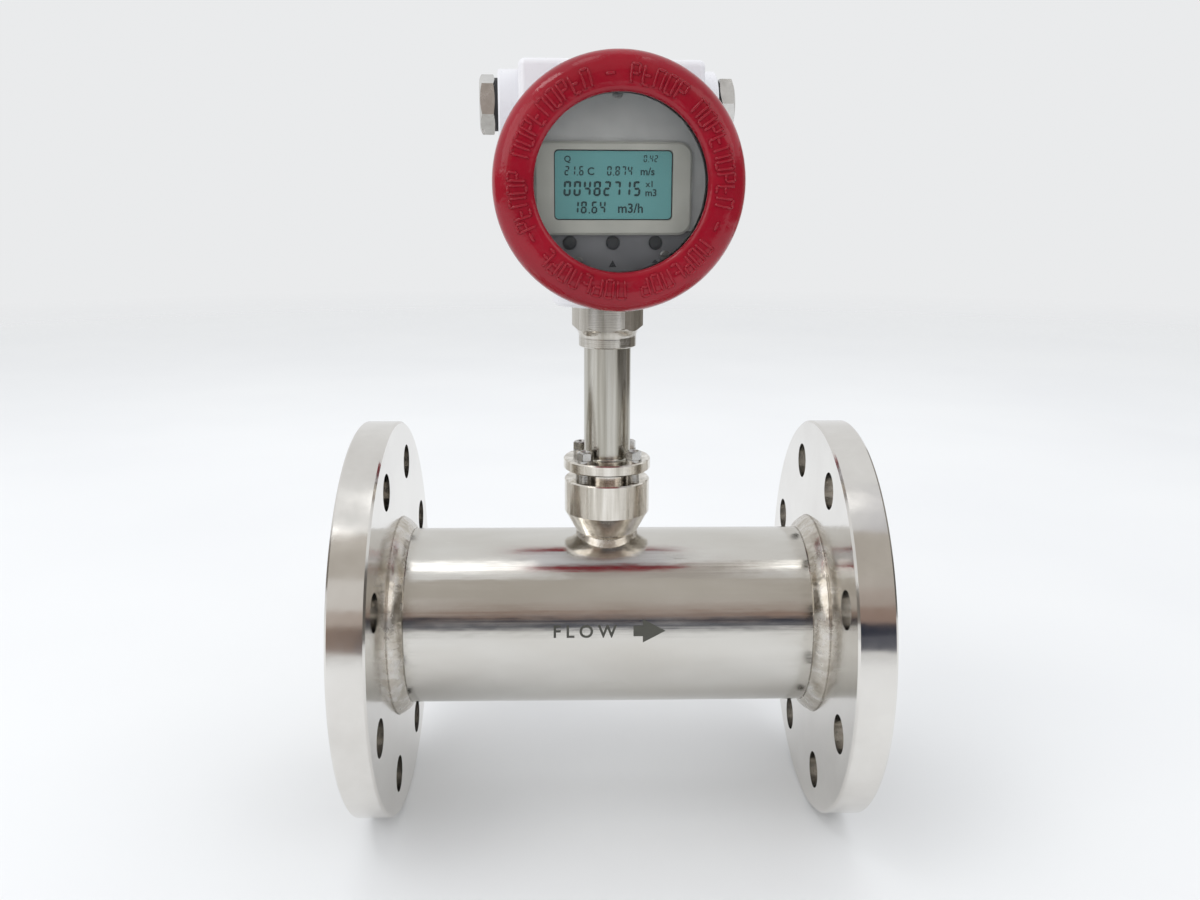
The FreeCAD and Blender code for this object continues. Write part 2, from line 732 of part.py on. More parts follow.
def fluted(body):
    """Cuts the grip flutes round the rim of a cover."""
    rim = cover_front - cover_len
    centre = cover_od / 2 + flute_r - flute_depth
    flute = moved(rod(flute_r, rim - 1, rim + flute_band), x=centre)
    return body.cut(copies_round(flute, flute_count))


def front_cover():
    bore, pocket, window = neck_ring_d / 2 + slip, glass_d / 2 + thread_play, window_d / 2
    lip, dip = cover_lip_r, cover_face_dip
    knee = lip * (1 - math.sqrt(0.5))
    start, *outside = cover_blank(bore)
    body = lathe(start, *outside, (window + lip + 1.5, cover_front), (window + lip, cover_front - dip * 0.2),
                 ((window + knee, cover_front - knee - dip * 0.2), (window, cover_front - lip - dip * 0.2)),
                 (window, glass_seat), (pocket, glass_seat), (pocket, cover_step), (bore, cover_step))
    return on_head(fluted(body))


def window_pieces():
    outer, inner = glass_d / 2, window_d / 2 + 0.2
    top = glass_seat - gasket_t
    glass_back = top - glass_t
    glass = lathe((0, glass_back), (outer - 0.4, glass_back), (outer, glass_back + 0.4), (outer, top - 0.4),
                  (outer - 0.4, top), (0, top))
    gasket = tube(outer, inner, top, glass_seat - tiny)
    retainer = tube(outer, inner, glass_back - retainer_t + tiny, glass_back - tiny)
    notch = bar(4, 3, retainer_t * 0.5, x=(outer + inner) / 2, z=glass_back - retainer_t)
    return on_head(glass), on_head(gasket), on_head(retainer.cut(copies_round(notch, 4, first=45)))


def cover_seal():
    """The O-ring that the cover squeezes against the end of the housing's male neck."""
    middle = neck_ring_d / 2 - o_ring_d / 2 - 0.2
    height = neck_ring_half + o_ring_d / 2
    return Part.makeTorus(middle, o_ring_d / 2, Vec(0, 0, height), Z_DIR)


def rear_cover():
    bore = neck_ring_d / 2 + slip
    start, *outside = cover_blank(bore)
    hub, inside, hub_face = rear_hub_d / 2, cover_front - rear_cap_t, cover_front - rear_hub_dip
    room, ring_r, ring_top = glass_d / 2, glass_d / 2 + slip_ring_w + tiny * 2, cover_step + slip_ring_t
    body = lathe(start, *outside, (hub + 6, cover_front), (hub + 2, hub_face), (hub, hub_face),
                 ((hub * 0.6, hub_face + rear_dome * 0.75), (hub * 0.2, hub_face + rear_dome)),
                 (0, hub_face + rear_dome), (0, inside), (room, inside), (room, ring_top),
                 (ring_r, ring_top), (ring_r, cover_step), (bore, cover_step))
    return on_head(spun(fluted(body), Y_DIR, 180))


def rear_slip_ring():
    """The flat nylon ring in the rear cover that slides on its O-ring as the cover turns."""
    top = cover_step + slip_ring_t - tiny
    ring = tube(glass_d / 2 + slip_ring_w, glass_d / 2 + slip, cover_step, top)
    return on_head(spun(ring, Y_DIR, 180))


# ---------------------------------------------------------------- port plugs
def port_plug(side, turn):
    face = port_half + plug_gasket_t
    head = hex_head(plug_af, face, face + plug_head_h, plug_edge, turn)
    thread = rod(port_bore_d / 2 - thread_play, face - plug_thread_len - plug_gasket_t, face)
    return on_head(sideways(head.fuse(thread), side))


def plug_gasket(side):
    ring = tube(plug_gasket_d / 2, port_bore_d / 2, port_half, port_half + plug_gasket_t)
    return on_head(sideways(ring, side))


# ---------------------------------------------------------------- display
def button_places():
    return [(display_x + n * button_pitch, button_up) for n in (-1, 0, 1)]


def post_places(shape):
    return [moved(shape, x=post_circle_d / 2 * math.cos(math.radians(angle)),
                  y=post_circle_d / 2 * math.sin(math.radians(angle))) for angle in post_angles]


def face_panel():
    """The printed disc behind the window, with holes for its buttons and screws."""
    back = panel_front - panel_t
    body = rod(panel_d / 2, back, panel_front)
    hole = rod(button_d / 2 + slip, back - 1, panel_front + 1)
    holes = [moved(hole, x=x, y=y) for x, y in button_places()]
    screws = post_places(rod(post_screw_d / 2 + running, back - 1, panel_front + 1))
    return on_head(body.cut(holes + screws))


def bezel():
    """The raised frame round the screen."""
    top = panel_front + bezel_t
    body = moved(rounded_plate(bezel_w, bezel_h, bezel_corner, panel_front, top), x=display_x, y=bezel_up)
    rim = [e for e in body.Edges if abs(e.BoundBox.ZMin - top) < 1e-3]
    body = body.makeChamfer(bezel_edge, rim)
    opening = rounded_plate(screen_w, screen_h, screen_corner, panel_front - 1, top + 1)
    return on_head(body.cut(moved(opening, x=display_x, y=screen_up)))


def screen():
    width, height = screen_w - 2 * tiny, screen_h - 2 * tiny
    plate = rounded_plate(width, height, screen_corner, panel_front, panel_front + bezel_t - screen_sunk)
    return on_head(moved(plate, x=display_x, y=screen_up))


def button(place):
    """A push cap that stands a little proud of the panel. Its skirt stops it behind the panel."""
    x, y = place
    top, r, dome = panel_front + button_proud, button_d / 2, button_dome
    skirt_r, skirt_top = r + button_skirt, panel_front - panel_t - tiny
    cap = lathe((0, top - button_len), (r, top - button_len), (r, skirt_top - button_skirt_t),
                (skirt_r, skirt_top - button_skirt_t), (skirt_r, skirt_top), (r, skirt_top), (r, top - dome),
                ((r * 0.75, top - dome * 0.25), (r * 0.3, top)), (0, top))
    return on_head(moved(cap, x=x, y=y))


def switches():
    """The three tactile switches on the display board, each with its round actuator."""
    top = panel_front + button_proud - button_len - button_travel - slip
    low = display_board_front
    body = bar(switch_side, switch_side, (top - low) * 0.7, z=low).fuse(rod(1.6, low, top))
    return Part.makeCompound([on_head(moved(body, x=x, y=y)) for x, y in button_places()])


def boards():
    """The display board and the main board, each drilled for the posts."""
    found = []
    for front in (display_board_front, main_board_front):
        back = front - board_t
        holes = post_places(rod(post_screw_d / 2 + running, back - 1, front + 1))
        found.append(on_head(rod(board_d / 2, back, front).cut(holes)))
    return found


def posts():
    spans = ((partition_front, main_board_front - board_t),
             (main_board_front, display_board_front - board_t),
             (display_board_front, panel_front - panel_t))
    found = []
    for low, high in spans:
        found += post_places(tube(post_d / 2, post_screw_d / 2 + running, low, high))
    return Part.makeCompound([on_head(p) for p in found])


def panel_screws():
    reach = display_board_front - board_t - 6
    screw = rod(post_screw_d / 2, reach, panel_front)
    rim, top = post_head_d / 2, panel_front + post_head_t
    head = lathe((0, panel_front), (rim, panel_front), (rim, top - 0.5), (rim - 0.6, top), (0, top))
    slot = bar(post_head_d, 0.7, 0.7, z=top - 0.6)
    return Part.makeCompound([on_head(s) for s in post_places(screw.fuse(head.cut(slot)))])


def main_chips():
    """The processor, a driver and a row of capacitors on the main board."""
    top = main_board_front
    gap = chip_w * 0.4
    pieces = [bar(chip_w, chip_w, chip_t, x=-gap, y=gap, z=top),
              bar(driver_w, driver_w * 0.6, chip_t, x=chip_w, y=-chip_w / 2, z=top)]
    for n in range(3):
        can = rod(capacitor_d / 2, top, top + capacitor_h)
        pieces.append(moved(can, x=(n - 2) * capacitor_pitch, y=-chip_w - capacitor_d / 2))
    return Part.makeCompound([on_head(p) for p in pieces])


def board_lead():
    """The short lead from the socket on the stem axis round to the back of the main board."""
    low = lead_top + connector_len + tiny - head_height
    bend = board_lead_bend
    back = main_board_front - board_t
    corner_y = low + 1.0
    path = Part.Wire([
        Part.LineSegment(Vec(0, low, 0), Vec(0, corner_y, 0)).toShape(),
        Part.Arc(Vec(0, corner_y, 0), Vec(0, corner_y + bend * math.sqrt(0.5), bend * (1 - math.sqrt(0.5))),
                 Vec(0, corner_y + bend, bend)).toShape(),
        Part.LineSegment(Vec(0, corner_y + bend, bend), Vec(0, corner_y + bend, back)).toShape()])
    section = Part.Wire([Part.makeCircle(board_lead_d / 2, Vec(0, low, 0), Y_DIR)])
    return on_head(path.makePipeShell([section], True, True))


# ---------------------------------------------------------------- terminals, behind the rear cover
def terminal_board():
    front = terminal_board_front + board_t
    plate = rounded_plate(terminal_board_w, terminal_board_h, 3, terminal_board_front, front)
    hole = rod(terminal_fixing_d / 2 + running, terminal_board_front - 1, front + 1)
    holes = [moved(hole, x=side * terminal_post_x) for side in (-1, 1)]
    return on_head(plate.cut(holes))


def terminal_block():
    """The row of wire clamps. Each way has a screw well at the back and a wire mouth below."""
    low = terminal_board_front - terminal_depth
    body = bar(terminal_w, terminal_h, terminal_depth, y=terminal_up, z=low)
    pitch = terminal_w / terminal_ways
    cuts = []
    for n in range(terminal_ways):
        x = (n - (terminal_ways - 1) / 2) * pitch
        cuts.append(moved(rod(terminal_screw_d / 2 + tiny, low - 1, low + 5), x=x, y=terminal_up + 1.5))
        mouth = spun(rod(terminal_wire_d / 2, -terminal_h / 2 - 1, -terminal_h / 2 + 3), X_DIR, -90)
        cuts.append(moved(mouth, x=x, y=terminal_up, z=low + 7.5))
    return on_head(body.cut(cuts))


def terminal_screws():
    low = terminal_board_front - terminal_depth
    pitch = terminal_w / terminal_ways
    slot = bar(terminal_screw_d + 1, 0.8, 1.0, z=low + 1.4)
    screw = rod(terminal_screw_d / 2, low + 1.5, low + 5).cut(slot)
    places = [((n - (terminal_ways - 1) / 2) * pitch, terminal_up + 1.5) for n in range(terminal_ways)]
    shank = rod(terminal_fixing_d / 2, terminal_board_front - 0.01, terminal_board_front + board_t + 4)
    head = rod(terminal_fixing_d, terminal_board_front - 2.0, terminal_board_front).fuse(shank)
    pieces = [moved(screw, x=x, y=y) for x, y in places]
    pieces += [moved(head, x=side * terminal_post_x) for side in (-1, 1)]
    return Part.makeCompound([on_head(p) for p in pieces])


# ---------------------------------------------------------------- the assembly
def both_ends(shape):
    """Two of a piece as one group, at the inlet and mirrored at the outlet."""
    return Part.makeCompound([shape, mirrored_along(shape)])


def build():
    welds = Part.makeCompound([outer_weld(), face_weld()])
    nodes = {
        "flow_tube": flow_tube(), "inlet_flange": flange(), "outlet_flange": mirrored_along(flange()),
        "inlet_flange_welds": welds, "outlet_flange_welds": mirrored_along(welds),
        "inlet_guide": guide(), "outlet_guide": mirrored_along(guide()),
        "inlet_nose_cone": nose_cone(), "outlet_tail_cone": mirrored_along(nose_cone()),
        "shaft_bushes": both_ends(bush()), "thrust_pads": both_ends(thrust_pad()),
        "guide_circlips": both_ends(circlip()),
        "turbine_rotor": rotor(), "rotor_shaft": rotor_shaft(),
        "sensor_boss": sensor_boss(), "boss_weld": boss_weld(),
        "stem_plate": stem_plate(), "stem_bolts": stem_bolts(), "stem_spring_washers": stem_washers(),
        "stem_tube": stem_tube(), "hex_adapter": hex_adapter(),
        "pickup_can": pickup_can(), "pickup_seal": pickup_seal(), "signal_lead": signal_lead(),
        "head_housing": head_housing(), "head_lock_screw": lock_screw(),
        "front_cover": front_cover(), "rear_cover": rear_cover(),
        "rear_cover_slip_ring": rear_slip_ring(),
        "left_port_plug": port_plug(-1, left_plug_turn), "right_port_plug": port_plug(1, right_plug_turn),
        "left_plug_gasket": plug_gasket(-1), "right_plug_gasket": plug_gasket(1),
        "face_panel": face_panel(), "screen_bezel": bezel(), "lcd_screen": screen(),
        "tactile_switches": switches(), "board_posts": posts(), "panel_screws": panel_screws(),
        "main_board_chips": main_chips(), "board_lead": board_lead(),
        "terminal_board": terminal_board(), "terminal_block": terminal_block(),
        "terminal_screws": terminal_screws(),
    }
    nodes.update(pickup_pieces())
    nodes["earth_screw"], nodes["earth_washer"] = earth_pieces()
    nodes["window_glass"], nodes["window_gasket"], nodes["window_retainer"] = window_pieces()
    nodes["display_board"], nodes["main_board"] = boards()
    for name, place in zip(("left_button", "middle_button", "right_button"), button_places()):
        nodes[name] = button(place)
    nodes["front_cover_seal"] = on_head(cover_seal())
    nodes["rear_cover_seal"] = on_head(spun(cover_seal(), Y_DIR, 180))
    return nodes


def main():
    os.makedirs("parts", exist_ok=True)
    for name, shape in build().items():
        shape.exportStep(f"parts/{name}.step")
        print(f"{name:22s} {len(shape.Solids)} solids, {shape.Volume:10.1f} mm3")


main()
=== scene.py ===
"""Looks of a flanged turbine flow meter: polished steel pipework, a white head and deep red screw-on covers.

Everything is in metres in the row frame: +X along the flow, -Y out of the display, +Z up.
Pieces on the head are laid out flat in the face frame (x right, y up, z out of the display, from the centre
of the head) and then placed on it. Pieces round the pipe are laid out about X at the pipe's height.
"""

import math

import bmesh
import bpy
from mathutils import Matrix, Vector


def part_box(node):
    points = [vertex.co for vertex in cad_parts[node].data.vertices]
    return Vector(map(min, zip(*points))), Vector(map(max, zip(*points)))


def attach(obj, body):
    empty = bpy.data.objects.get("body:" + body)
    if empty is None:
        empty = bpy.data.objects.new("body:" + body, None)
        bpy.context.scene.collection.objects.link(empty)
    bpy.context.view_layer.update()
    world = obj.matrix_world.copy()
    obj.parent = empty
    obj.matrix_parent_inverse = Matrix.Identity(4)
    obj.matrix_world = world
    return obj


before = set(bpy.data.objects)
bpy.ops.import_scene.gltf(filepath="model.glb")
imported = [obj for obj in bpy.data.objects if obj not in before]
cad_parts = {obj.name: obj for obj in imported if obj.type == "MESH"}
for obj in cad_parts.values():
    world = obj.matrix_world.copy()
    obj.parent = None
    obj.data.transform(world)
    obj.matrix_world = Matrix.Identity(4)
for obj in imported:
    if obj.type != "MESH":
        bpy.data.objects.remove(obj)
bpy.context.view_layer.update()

MM = 0.001
TURN = math.tau

# ---------------------------------------------------------------- sizes read from the frame
def span(node):
    """Lowest corner, highest corner and centre of a node."""
    low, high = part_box(node)
    return low, high, (low + high) / 2


pipe_low, pipe_high, pipe_centre = span("flow_tube")
AXIS_Z = pipe_centre.z
TUBE_R = (pipe_high.z - pipe_low.z) / 2
FLANGE_INNER_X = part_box("outlet_flange")[0].x
WELD_TIP_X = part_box("outlet_flange_welds")[0].x
WELD_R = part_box("outlet_flange_welds")[1].z - AXIS_Z
HEAD_TURN = math.radians(4.0)
cover_low, cover_high, cover_centre = span("front_cover")
HEAD_Z = cover_centre.z
COVER_R = (cover_high.z - cover_low.z) / 2
BOSS_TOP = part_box("sensor_boss")[1].z

HEAD_PLACE = (Matrix.Translation((0, 0, HEAD_Z)) @ Matrix.Rotation(HEAD_TURN, 4, "Z")
              @ Matrix.Rotation(math.radians(90), 4, "X"))


def face_span(node):
    """Lowest and highest corners of a node in the face frame."""
    inverse = HEAD_PLACE.inverted()
    points = [inverse @ v.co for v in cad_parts[node].data.vertices]
    return (Vector([min(p[k] for p in points) for k in range(3)]),
            Vector([max(p[k] for p in points) for k in range(3)]))


COVER_FRONT = face_span("front_cover")[1].z
STRIP_OVER_BUTTONS, STRIP_BLUR = 1.1 * MM, 0.2 * MM
DIAL_STRIP = face_span("middle_button")[1].y + STRIP_OVER_BUTTONS
BOSS_WELD_R = (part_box("boss_weld")[1].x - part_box("boss_weld")[0].x) / 2

# ---------------------------------------------------------------- sizes of the dressing
COVER_SHOULDER = 9.0 * MM
BORDER_INNER, BORDER_OUTER = 40.4 * MM, 48.0 * MM
BORDER_SLOTS = 54
# the border's runs of strokes and its dashes: first slot, number of slots
BORDER_RUNS = ((1, 5), (7, 9), (19, 7), (27, 8), (37, 5), (43, 9))
BORDER_DASHES = ((17, 1), (36, 1), (53, 1))
STROKE_SHARE = 0.62     # of a slot's width
STROKE, STROKE_RISE = 1.5 * MM, 0.8 * MM
# a stroke's section: across in stroke widths, up in stroke heights. Its ends are lower by STROKE_END
STROKE_SECTION = ((-0.50, -0.5), (-0.42, 0.35), (-0.22, 0.85), (0.0, 1.0), (0.22, 0.85), (0.42, 0.35), (0.50, -0.5))
STROKE_END, STROKE_STEP, RADIAL_STEPS = 0.55, 1.2 * MM, 5
INK = 0.05 * MM

ARROW_ANGLE = math.radians(10.8)
ARROW_TAIL, ARROW_NECK, ARROW_TIP = 11.8 * MM, 16.3 * MM, 27.2 * MM
ARROW_SHAFT, ARROW_HEAD = 2.6 * MM, 5.7 * MM
FLOW_HEIGHT, FLOW_LEFT, FLOW_LOW, FLOW_SPACING = 6.0 * MM, -26.5 * MM, -3.0 * MM, 1.55
BEND_STEP, BEND_STEPS = 0.6 * MM, 12

BEAD_POINTS = 8
# how far the scales' crests sweep forward and drift, how sharp they are, and what makes up a bead's height
BEAD_SWEEP, BEAD_DRIFT, BEAD_SHARPNESS = 0.45, 0.10, 0.6
BEAD_BODY, BEAD_SCALE, BEAD_WAVER = 0.62, 0.38, 0.35
FLANGE_BEAD_SCALES, FLANGE_BEAD_HEIGHT, FLANGE_BEAD_STEPS = 64, 0.75 * MM, 640
BOSS_BEAD_SCALES, BOSS_BEAD_HEIGHT, BOSS_BEAD_STEPS = 34, 0.45 * MM, 360
BOSS_FOOT_R, BOSS_WELD_H = 14.5 * MM, 2.7 * MM
BEAD_SINK = 0.05 * MM
BOLT_R, BOLT_CIRCLE_R = 2.5 * MM, 17.1 * MM
THREAD_PITCH, THREAD_TURNS, THREAD_DEPTH = 0.8 * MM, 7, 0.34 * MM
THREAD_START, THREAD_INSET = BOSS_TOP + 0.3 * MM, 0.1 * MM
THREAD_SIDES, THREAD_SECTION_SIDES = 28, 8
BOLT_ANGLE, BOLT_COUNT = HEAD_TURN + math.radians(45), 4

# what the screen shows: kind, text, height, right of the screen's left edge, up from its lower edge, all in mm
SCREEN_ROWS = (
    ("word", "Q", 2.6, 4.5, 24.6), ("figures", "0.42", 3.0, 39.0, 24.6),
    ("figures", "21.6", 4.0, 4.5, 18.9), ("word", "C", 3.2, 14.6, 19.2),
    ("figures", "0.874", 4.0, 23.0, 18.9), ("word", "m/s", 3.2, 37.8, 19.2),
    ("figures", "00482715", 6.4, 4.0, 10.2), ("word", "x1", 2.6, 40.0, 14.2), ("word", "m3", 3.0, 40.0, 10.3),
    ("figures", "18.64", 5.2, 8.0, 2.8), ("word", "m3/h", 4.0, 28.0, 3.2),
)
SEGMENTS = {"0": "abcdef", "1": "bc", "2": "abged", "3": "abgcd", "4": "fgbc", "5": "afgcd", "6": "afgedc",
            "7": "abc", "8": "abcdefg"}
# a figure's parts, in figure heights
FIGURE_WIDTH, FIGURE_STROKE, FIGURE_SLANT, FIGURE_GAP = 0.50, 0.15, 0.06, 0.02
POINT_SIZE, POINT_STEP, FIGURE_STEP = 0.12, 0.22, 0.68
FONT_PER_HEIGHT, WORD_BOLDNESS = 1.4, 0.03
RIM_CORNER, RIM_LINE, RIM_RISE, RIM_INSET, RIM_STEPS = 1.9 * MM, 0.45 * MM, 0.06 * MM, 0.02 * MM, 8
SYMBOL, SYMBOL_DROP = 1.7 * MM, 5.6 * MM
DIAL_LINE, DIAL_LINE_INSET = 0.35 * MM, 0.5 * MM
PRINT_LIFT, READING_LIFT = 0.01 * MM, 0.015 * MM

# ---------------------------------------------------------------- studio settings
# place in metres; turned right, tipped down and rolled in degrees; focal length in mm
CAMERA_PLACE = (-0.01571, -0.51534, 0.31054)
CAMERA_AIM = (1.36, 13.46, 0.16)
CAMERA_LENS = 31.663
CAMERA_SENSOR = 36.0
FLOOR_RADIUS, FLOOR_FADE_FROM, FLOOR_FADE_TO, FLOOR_SIDES = 3.4, 1.0, 3.2, 96
AIR_COLOUR = (0.955, 0.965, 0.975, 1)
AIR_LIGHTING, AIR_SEEN = 0.92, 0.86     # strength on matt surfaces, and as seen directly or in a mirror
# what the polished metal mirrors: name, (width, height), place, turn in degrees, tone
STUDIO_CARDS = (
    ("low_front_card", (2.89, 0.22), (1.06, -1.5, 0.24), (90, 0, 0), (0.115, 0.12, 0.145)),
    ("dark_front_card", (2.89, 0.17), (1.06, -1.5, 0.435), (90, 0, 0), (0.040, 0.045, 0.065)),
    ("middle_front_card", (2.89, 0.26), (1.06, -1.52, 0.65), (90, 0, 0), (0.33, 0.245, 0.21)),
    ("high_front_card", (2.89, 0.34), (1.06, -1.54, 0.95), (90, 0, 0), (0.44, 0.385, 0.35)),
    ("upper_front_card", (2.89, 0.35), (1.06, -1.56, 1.295), (90, 0, 0), (0.50, 0.465, 0.43)),
    ("left_brown_card", (2.1, 0.39), (-1.435, -1.5, 0.325), (90, 0, 0), (0.28, 0.205, 0.165)),
    ("left_tan_card", (2.1, 0.26), (-1.435, -1.52, 0.65), (90, 0, 0), (0.52, 0.46, 0.42)),
    ("left_pale_card", (2.1, 0.69), (-1.435, -1.55, 1.125), (90, 0, 0), (0.72, 0.70, 0.68)),
    ("front_ceiling_card", (5.0, 0.94), (0, -1.07, 1.42), (0, 0, 0), (0.50, 0.47, 0.43)),
    ("top_ceiling_card", (0.36, 0.62), (0.13, -0.30, 1.42), (0, 0, 0), (0.42, 0.39, 0.36)),
    ("right_ceiling_card", (0.9, 0.75), (0.92, -0.225, 1.42), (0, 0, 0), (0.60, 0.60, 0.64)),
    ("left_card", (1.6, 0.30), (-1.1, -0.4, 0.30), (90, 0, 90), (0.20, 0.18, 0.16)),
    ("right_card", (1.2, 0.50), (1.0, -0.3, 0.27), (90, 0, 90), (0.13, 0.12, 0.11)),
    ("right_back_card", (0.9, 0.60), (0.95, 0.62, 0.30), (90, 0, 120), (0.27, 0.255, 0.235)),
)
# name, place, aim, (width, height), power, whether it shows in the polished metal
STUDIO_LAMPS = (
    ("left_overhead_softbox", (-0.70, -0.46, 1.5), (-0.1, -0.2, 0.0), (0.64, 0.28), 2.2, True),
    ("left_top_softbox", (-0.215, -0.14, 1.5), (-0.215, -0.14, 0.0), (0.25, 0.36), 0.35, True),
    ("right_top_softbox", (0.36, -0.15, 1.5), (0.36, -0.15, 0.0), (0.15, 0.30), 0.17, True),
    ("back_softbox", (0.0, 1.0, 1.5), (0, 0.2, 0.1), (2.2, 1.0), 5.6, False),
    ("left_softbox", (-1.3, -0.9, 0.9), (0, 0, 0.2), (1.2, 1.2), 5.4, True),
    ("right_softbox", (1.2, -1.0, 1.1), (0, 0, 0.2), (1.0, 1.2), 3.6, True),
)


# ---------------------------------------------------------------- finishes
NOISE_LOW, NOISE_HIGH = 0.3, 0.7     # the part of a noise's range that is used


class Finish:
    """A material being made: a Principled shader, object coordinates, and the nodes that pattern it."""

    def __init__(self, name, **settings):
        self.material = bpy.data.materials.new(name)
        self.material.use_nodes = True
        self.tree = self.material.node_tree
        self.shader = self.tree.nodes["Principled BSDF"]
        self.place = self.node("TexCoord").outputs["Object"]
        for socket, value in settings.items():
            self.set(socket, value)

    def set(self, socket, value):
        target = self.shader.inputs[socket.replace("_", " ")]
        if isinstance(value, bpy.types.NodeSocket):
            self.tree.links.new(value, target)
        elif isinstance(value, tuple) and len(value) == 3:
            target.default_value = (*value, 1)
        else:
            target.default_value = value

    def node(self, kind, inputs=None, **settings):
        made = self.tree.nodes.new("ShaderNode" + kind)
        for name, value in settings.items():
            setattr(made, name, value)
        for name, value in (inputs or {}).items():
            if isinstance(value, bpy.types.NodeSocket):
                self.tree.links.new(value, made.inputs[name])
            else:
                made.inputs[name].default_value = value
        return made

    def stretched(self, scale=(1, 1, 1), centre=(0, 0, 0), turn=(0, 0, 0)):
        """Object coordinates measured from a centre, then scaled."""
        shifted = self.node("Mapping", {"Vector": self.place, "Location": [-c for c in centre]})
        return self.node("Mapping", {"Vector": shifted.outputs[0], "Scale": scale, "Rotation": turn}).outputs[0]

    def noise(self, scale, detail=3.0, roughness=0.5, at=None):
        return self.node("TexNoise", {"Vector": at or self.place, "Scale": scale, "Detail": detail,
                                      "Roughness": roughness}).outputs["Fac"]

    def radius_from(self, centre, axis):
        """Distance from an axis through centre, in metres, as one number."""
        keep = tuple(0.0 if name == axis else 1.0 for name in "XYZ")
        flat = self.stretched(scale=keep, centre=centre)
        return self.node("VectorMath", {0: flat}, operation="LENGTH").outputs["Value"]

    def between(self, value, low, high, start=0.0, end=1.0):
        """Maps start..end of a value onto low..high, clamped."""
        return self.node("MapRange", {"Value": value, "From Min": start, "From Max": end, "To Min": low,
                                      "To Max": high}).outputs["Result"]

    def maths(self, operation, first, second=0.0):
        return self.node("Math", {0: first, 1: second}, operation=operation).outputs[0]

    def colours(self, value, *stops):
        """A colour ramp over a value. Each stop is (position, colour)."""
        ramp = self.node("ValToRGB", {"Fac": value})
        ramp.color_ramp.elements[0].position, ramp.color_ramp.elements[0].color = stops[0][0], (*stops[0][1], 1)
        ramp.color_ramp.elements[1].position, ramp.color_ramp.elements[1].color = stops[-1][0], (*stops[-1][1], 1)
        for position, colour in stops[1:-1]:
            ramp.color_ramp.elements.new(position).color = (*colour, 1)
        return ramp.outputs["Color"]

    def shade(self, noise, dark, light):
        return self.colours(noise, (NOISE_LOW, dark), (NOISE_HIGH, light))

    def spread(self, noise, low, high):
        return self.between(noise, low, high, NOISE_LOW, NOISE_HIGH)

    def bump(self, height, depth, under=None, strength=1.0):
        inputs = {"Height": height, "Distance": depth, "Strength": strength}
        if under:
            inputs["Normal"] = under
        return self.node("Bump", inputs).outputs["Normal"]

    def dress(self, *nodes):
        for name in nodes:
            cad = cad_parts[name]
            cad.data.materials.clear()
            cad.data.materials.append(self.material)
        return self


def polished_pipe():
    """Mirror-drawn tube: fine lines along its length, faint clouds, satin patches and shallow dents."""
    finish = Finish("polished_pipe", Metallic=1.0)
    lines = finish.noise(1.0, 3.0, at=finish.stretched(scale=(7, 900, 900)))
    clouds = finish.noise(26, 3.0, at=finish.stretched(scale=(0.5, 1, 1)))
    finish.set("Base Color", finish.shade(clouds, (0.62, 0.595, 0.55), (0.73, 0.715, 0.68)))
    patches = finish.noise(1.0, 4.0, 0.6, at=finish.stretched(scale=(16, 46, 46), centre=(0.12, 0, 0)))
    satin = finish.between(patches, 0.0, 0.10, 0.44, 0.64)
    finish.set("Roughness", finish.maths("ADD", finish.spread(lines, 0.08, 0.19), satin))
    dents = finish.bump(finish.noise(1.0, 3.0, at=finish.stretched(scale=(22, 60, 60))), 0.0009, strength=0.35)
    finish.set("Normal", finish.bump(lines, 0.00004, dents, strength=0.6))
    return finish


def drawn_stem():
    """The stem's tube: drawn along its length, with light and dark lengthwise streaks."""
    finish = Finish("drawn_stem", Metallic=1.0)
    streaks = finish.noise(1.0, 4.0, 0.6, at=finish.stretched(scale=(210, 210, 5)))
    finish.set("Base Color", finish.colours(streaks, (0.34, (0.26, 0.24, 0.20)), (0.50, (0.42, 0.40, 0.35)),
                                            (0.66, (0.62, 0.60, 0.55))))
    finish.set("Roughness", finish.spread(streaks, 0.12, 0.22))
    finish.set("Normal", finish.bump(streaks, 0.00004, strength=0.5))
    return finish


def faced_flange():
    """Lathe-faced and polished plate: rings of turning marks about the bore."""
    finish = Finish("faced_flange", Metallic=1.0)
    radius = finish.radius_from((0, 0, AXIS_Z), "X")
    rings = finish.node("TexNoise", {"W": finish.maths("MULTIPLY", radius, 1400.0), "Scale": 1.0, "Detail": 2.0},
                        noise_dimensions="1D").outputs["Fac"]
    smears = finish.noise(30, 5.0, 0.6)
    finish.set("Base Color", finish.shade(smears, (0.70, 0.675, 0.64), (0.80, 0.78, 0.745)))
    finish.set("Roughness", finish.spread(smears, 0.08, 0.19))
    dents = finish.bump(finish.noise(28, 3.0), 0.0008, strength=0.30)
    finish.set("Normal", finish.bump(rings, 0.00002, dents, strength=0.35))
    return finish


def turned_steel(name="turned_steel", lift=1.0):
    """Lathe-turned piece on the stem: rings across its axis, with streaks of handling down its length. A lift above
    1 gives a lighter copy with painted light, for pieces that are to look more brightly lit.
    """
    finish = Finish(name, Metallic=1.0)
    rings = finish.noise(1.0, 2.0, at=finish.stretched(scale=(60, 60, 2600)))
    streaks = finish.noise(1.0, 4.0, 0.65, at=finish.stretched(scale=(170, 170, 9)))
    # lift scales every tone; above 1 it paints light into the colour
    dark, middle, light = (tuple(lift * value for value in tone) for tone in (
        (0.34, 0.315, 0.27), (0.52, 0.49, 0.44), (0.72, 0.695, 0.65)))
    finish.set("Base Color", finish.colours(streaks, (0.30, dark), (0.48, middle), (0.68, light)))
    finish.set("Roughness", finish.spread(rings, 0.12, 0.24))
    finish.set("Normal", finish.bump(rings, 0.00003, strength=0.5))
    return finish


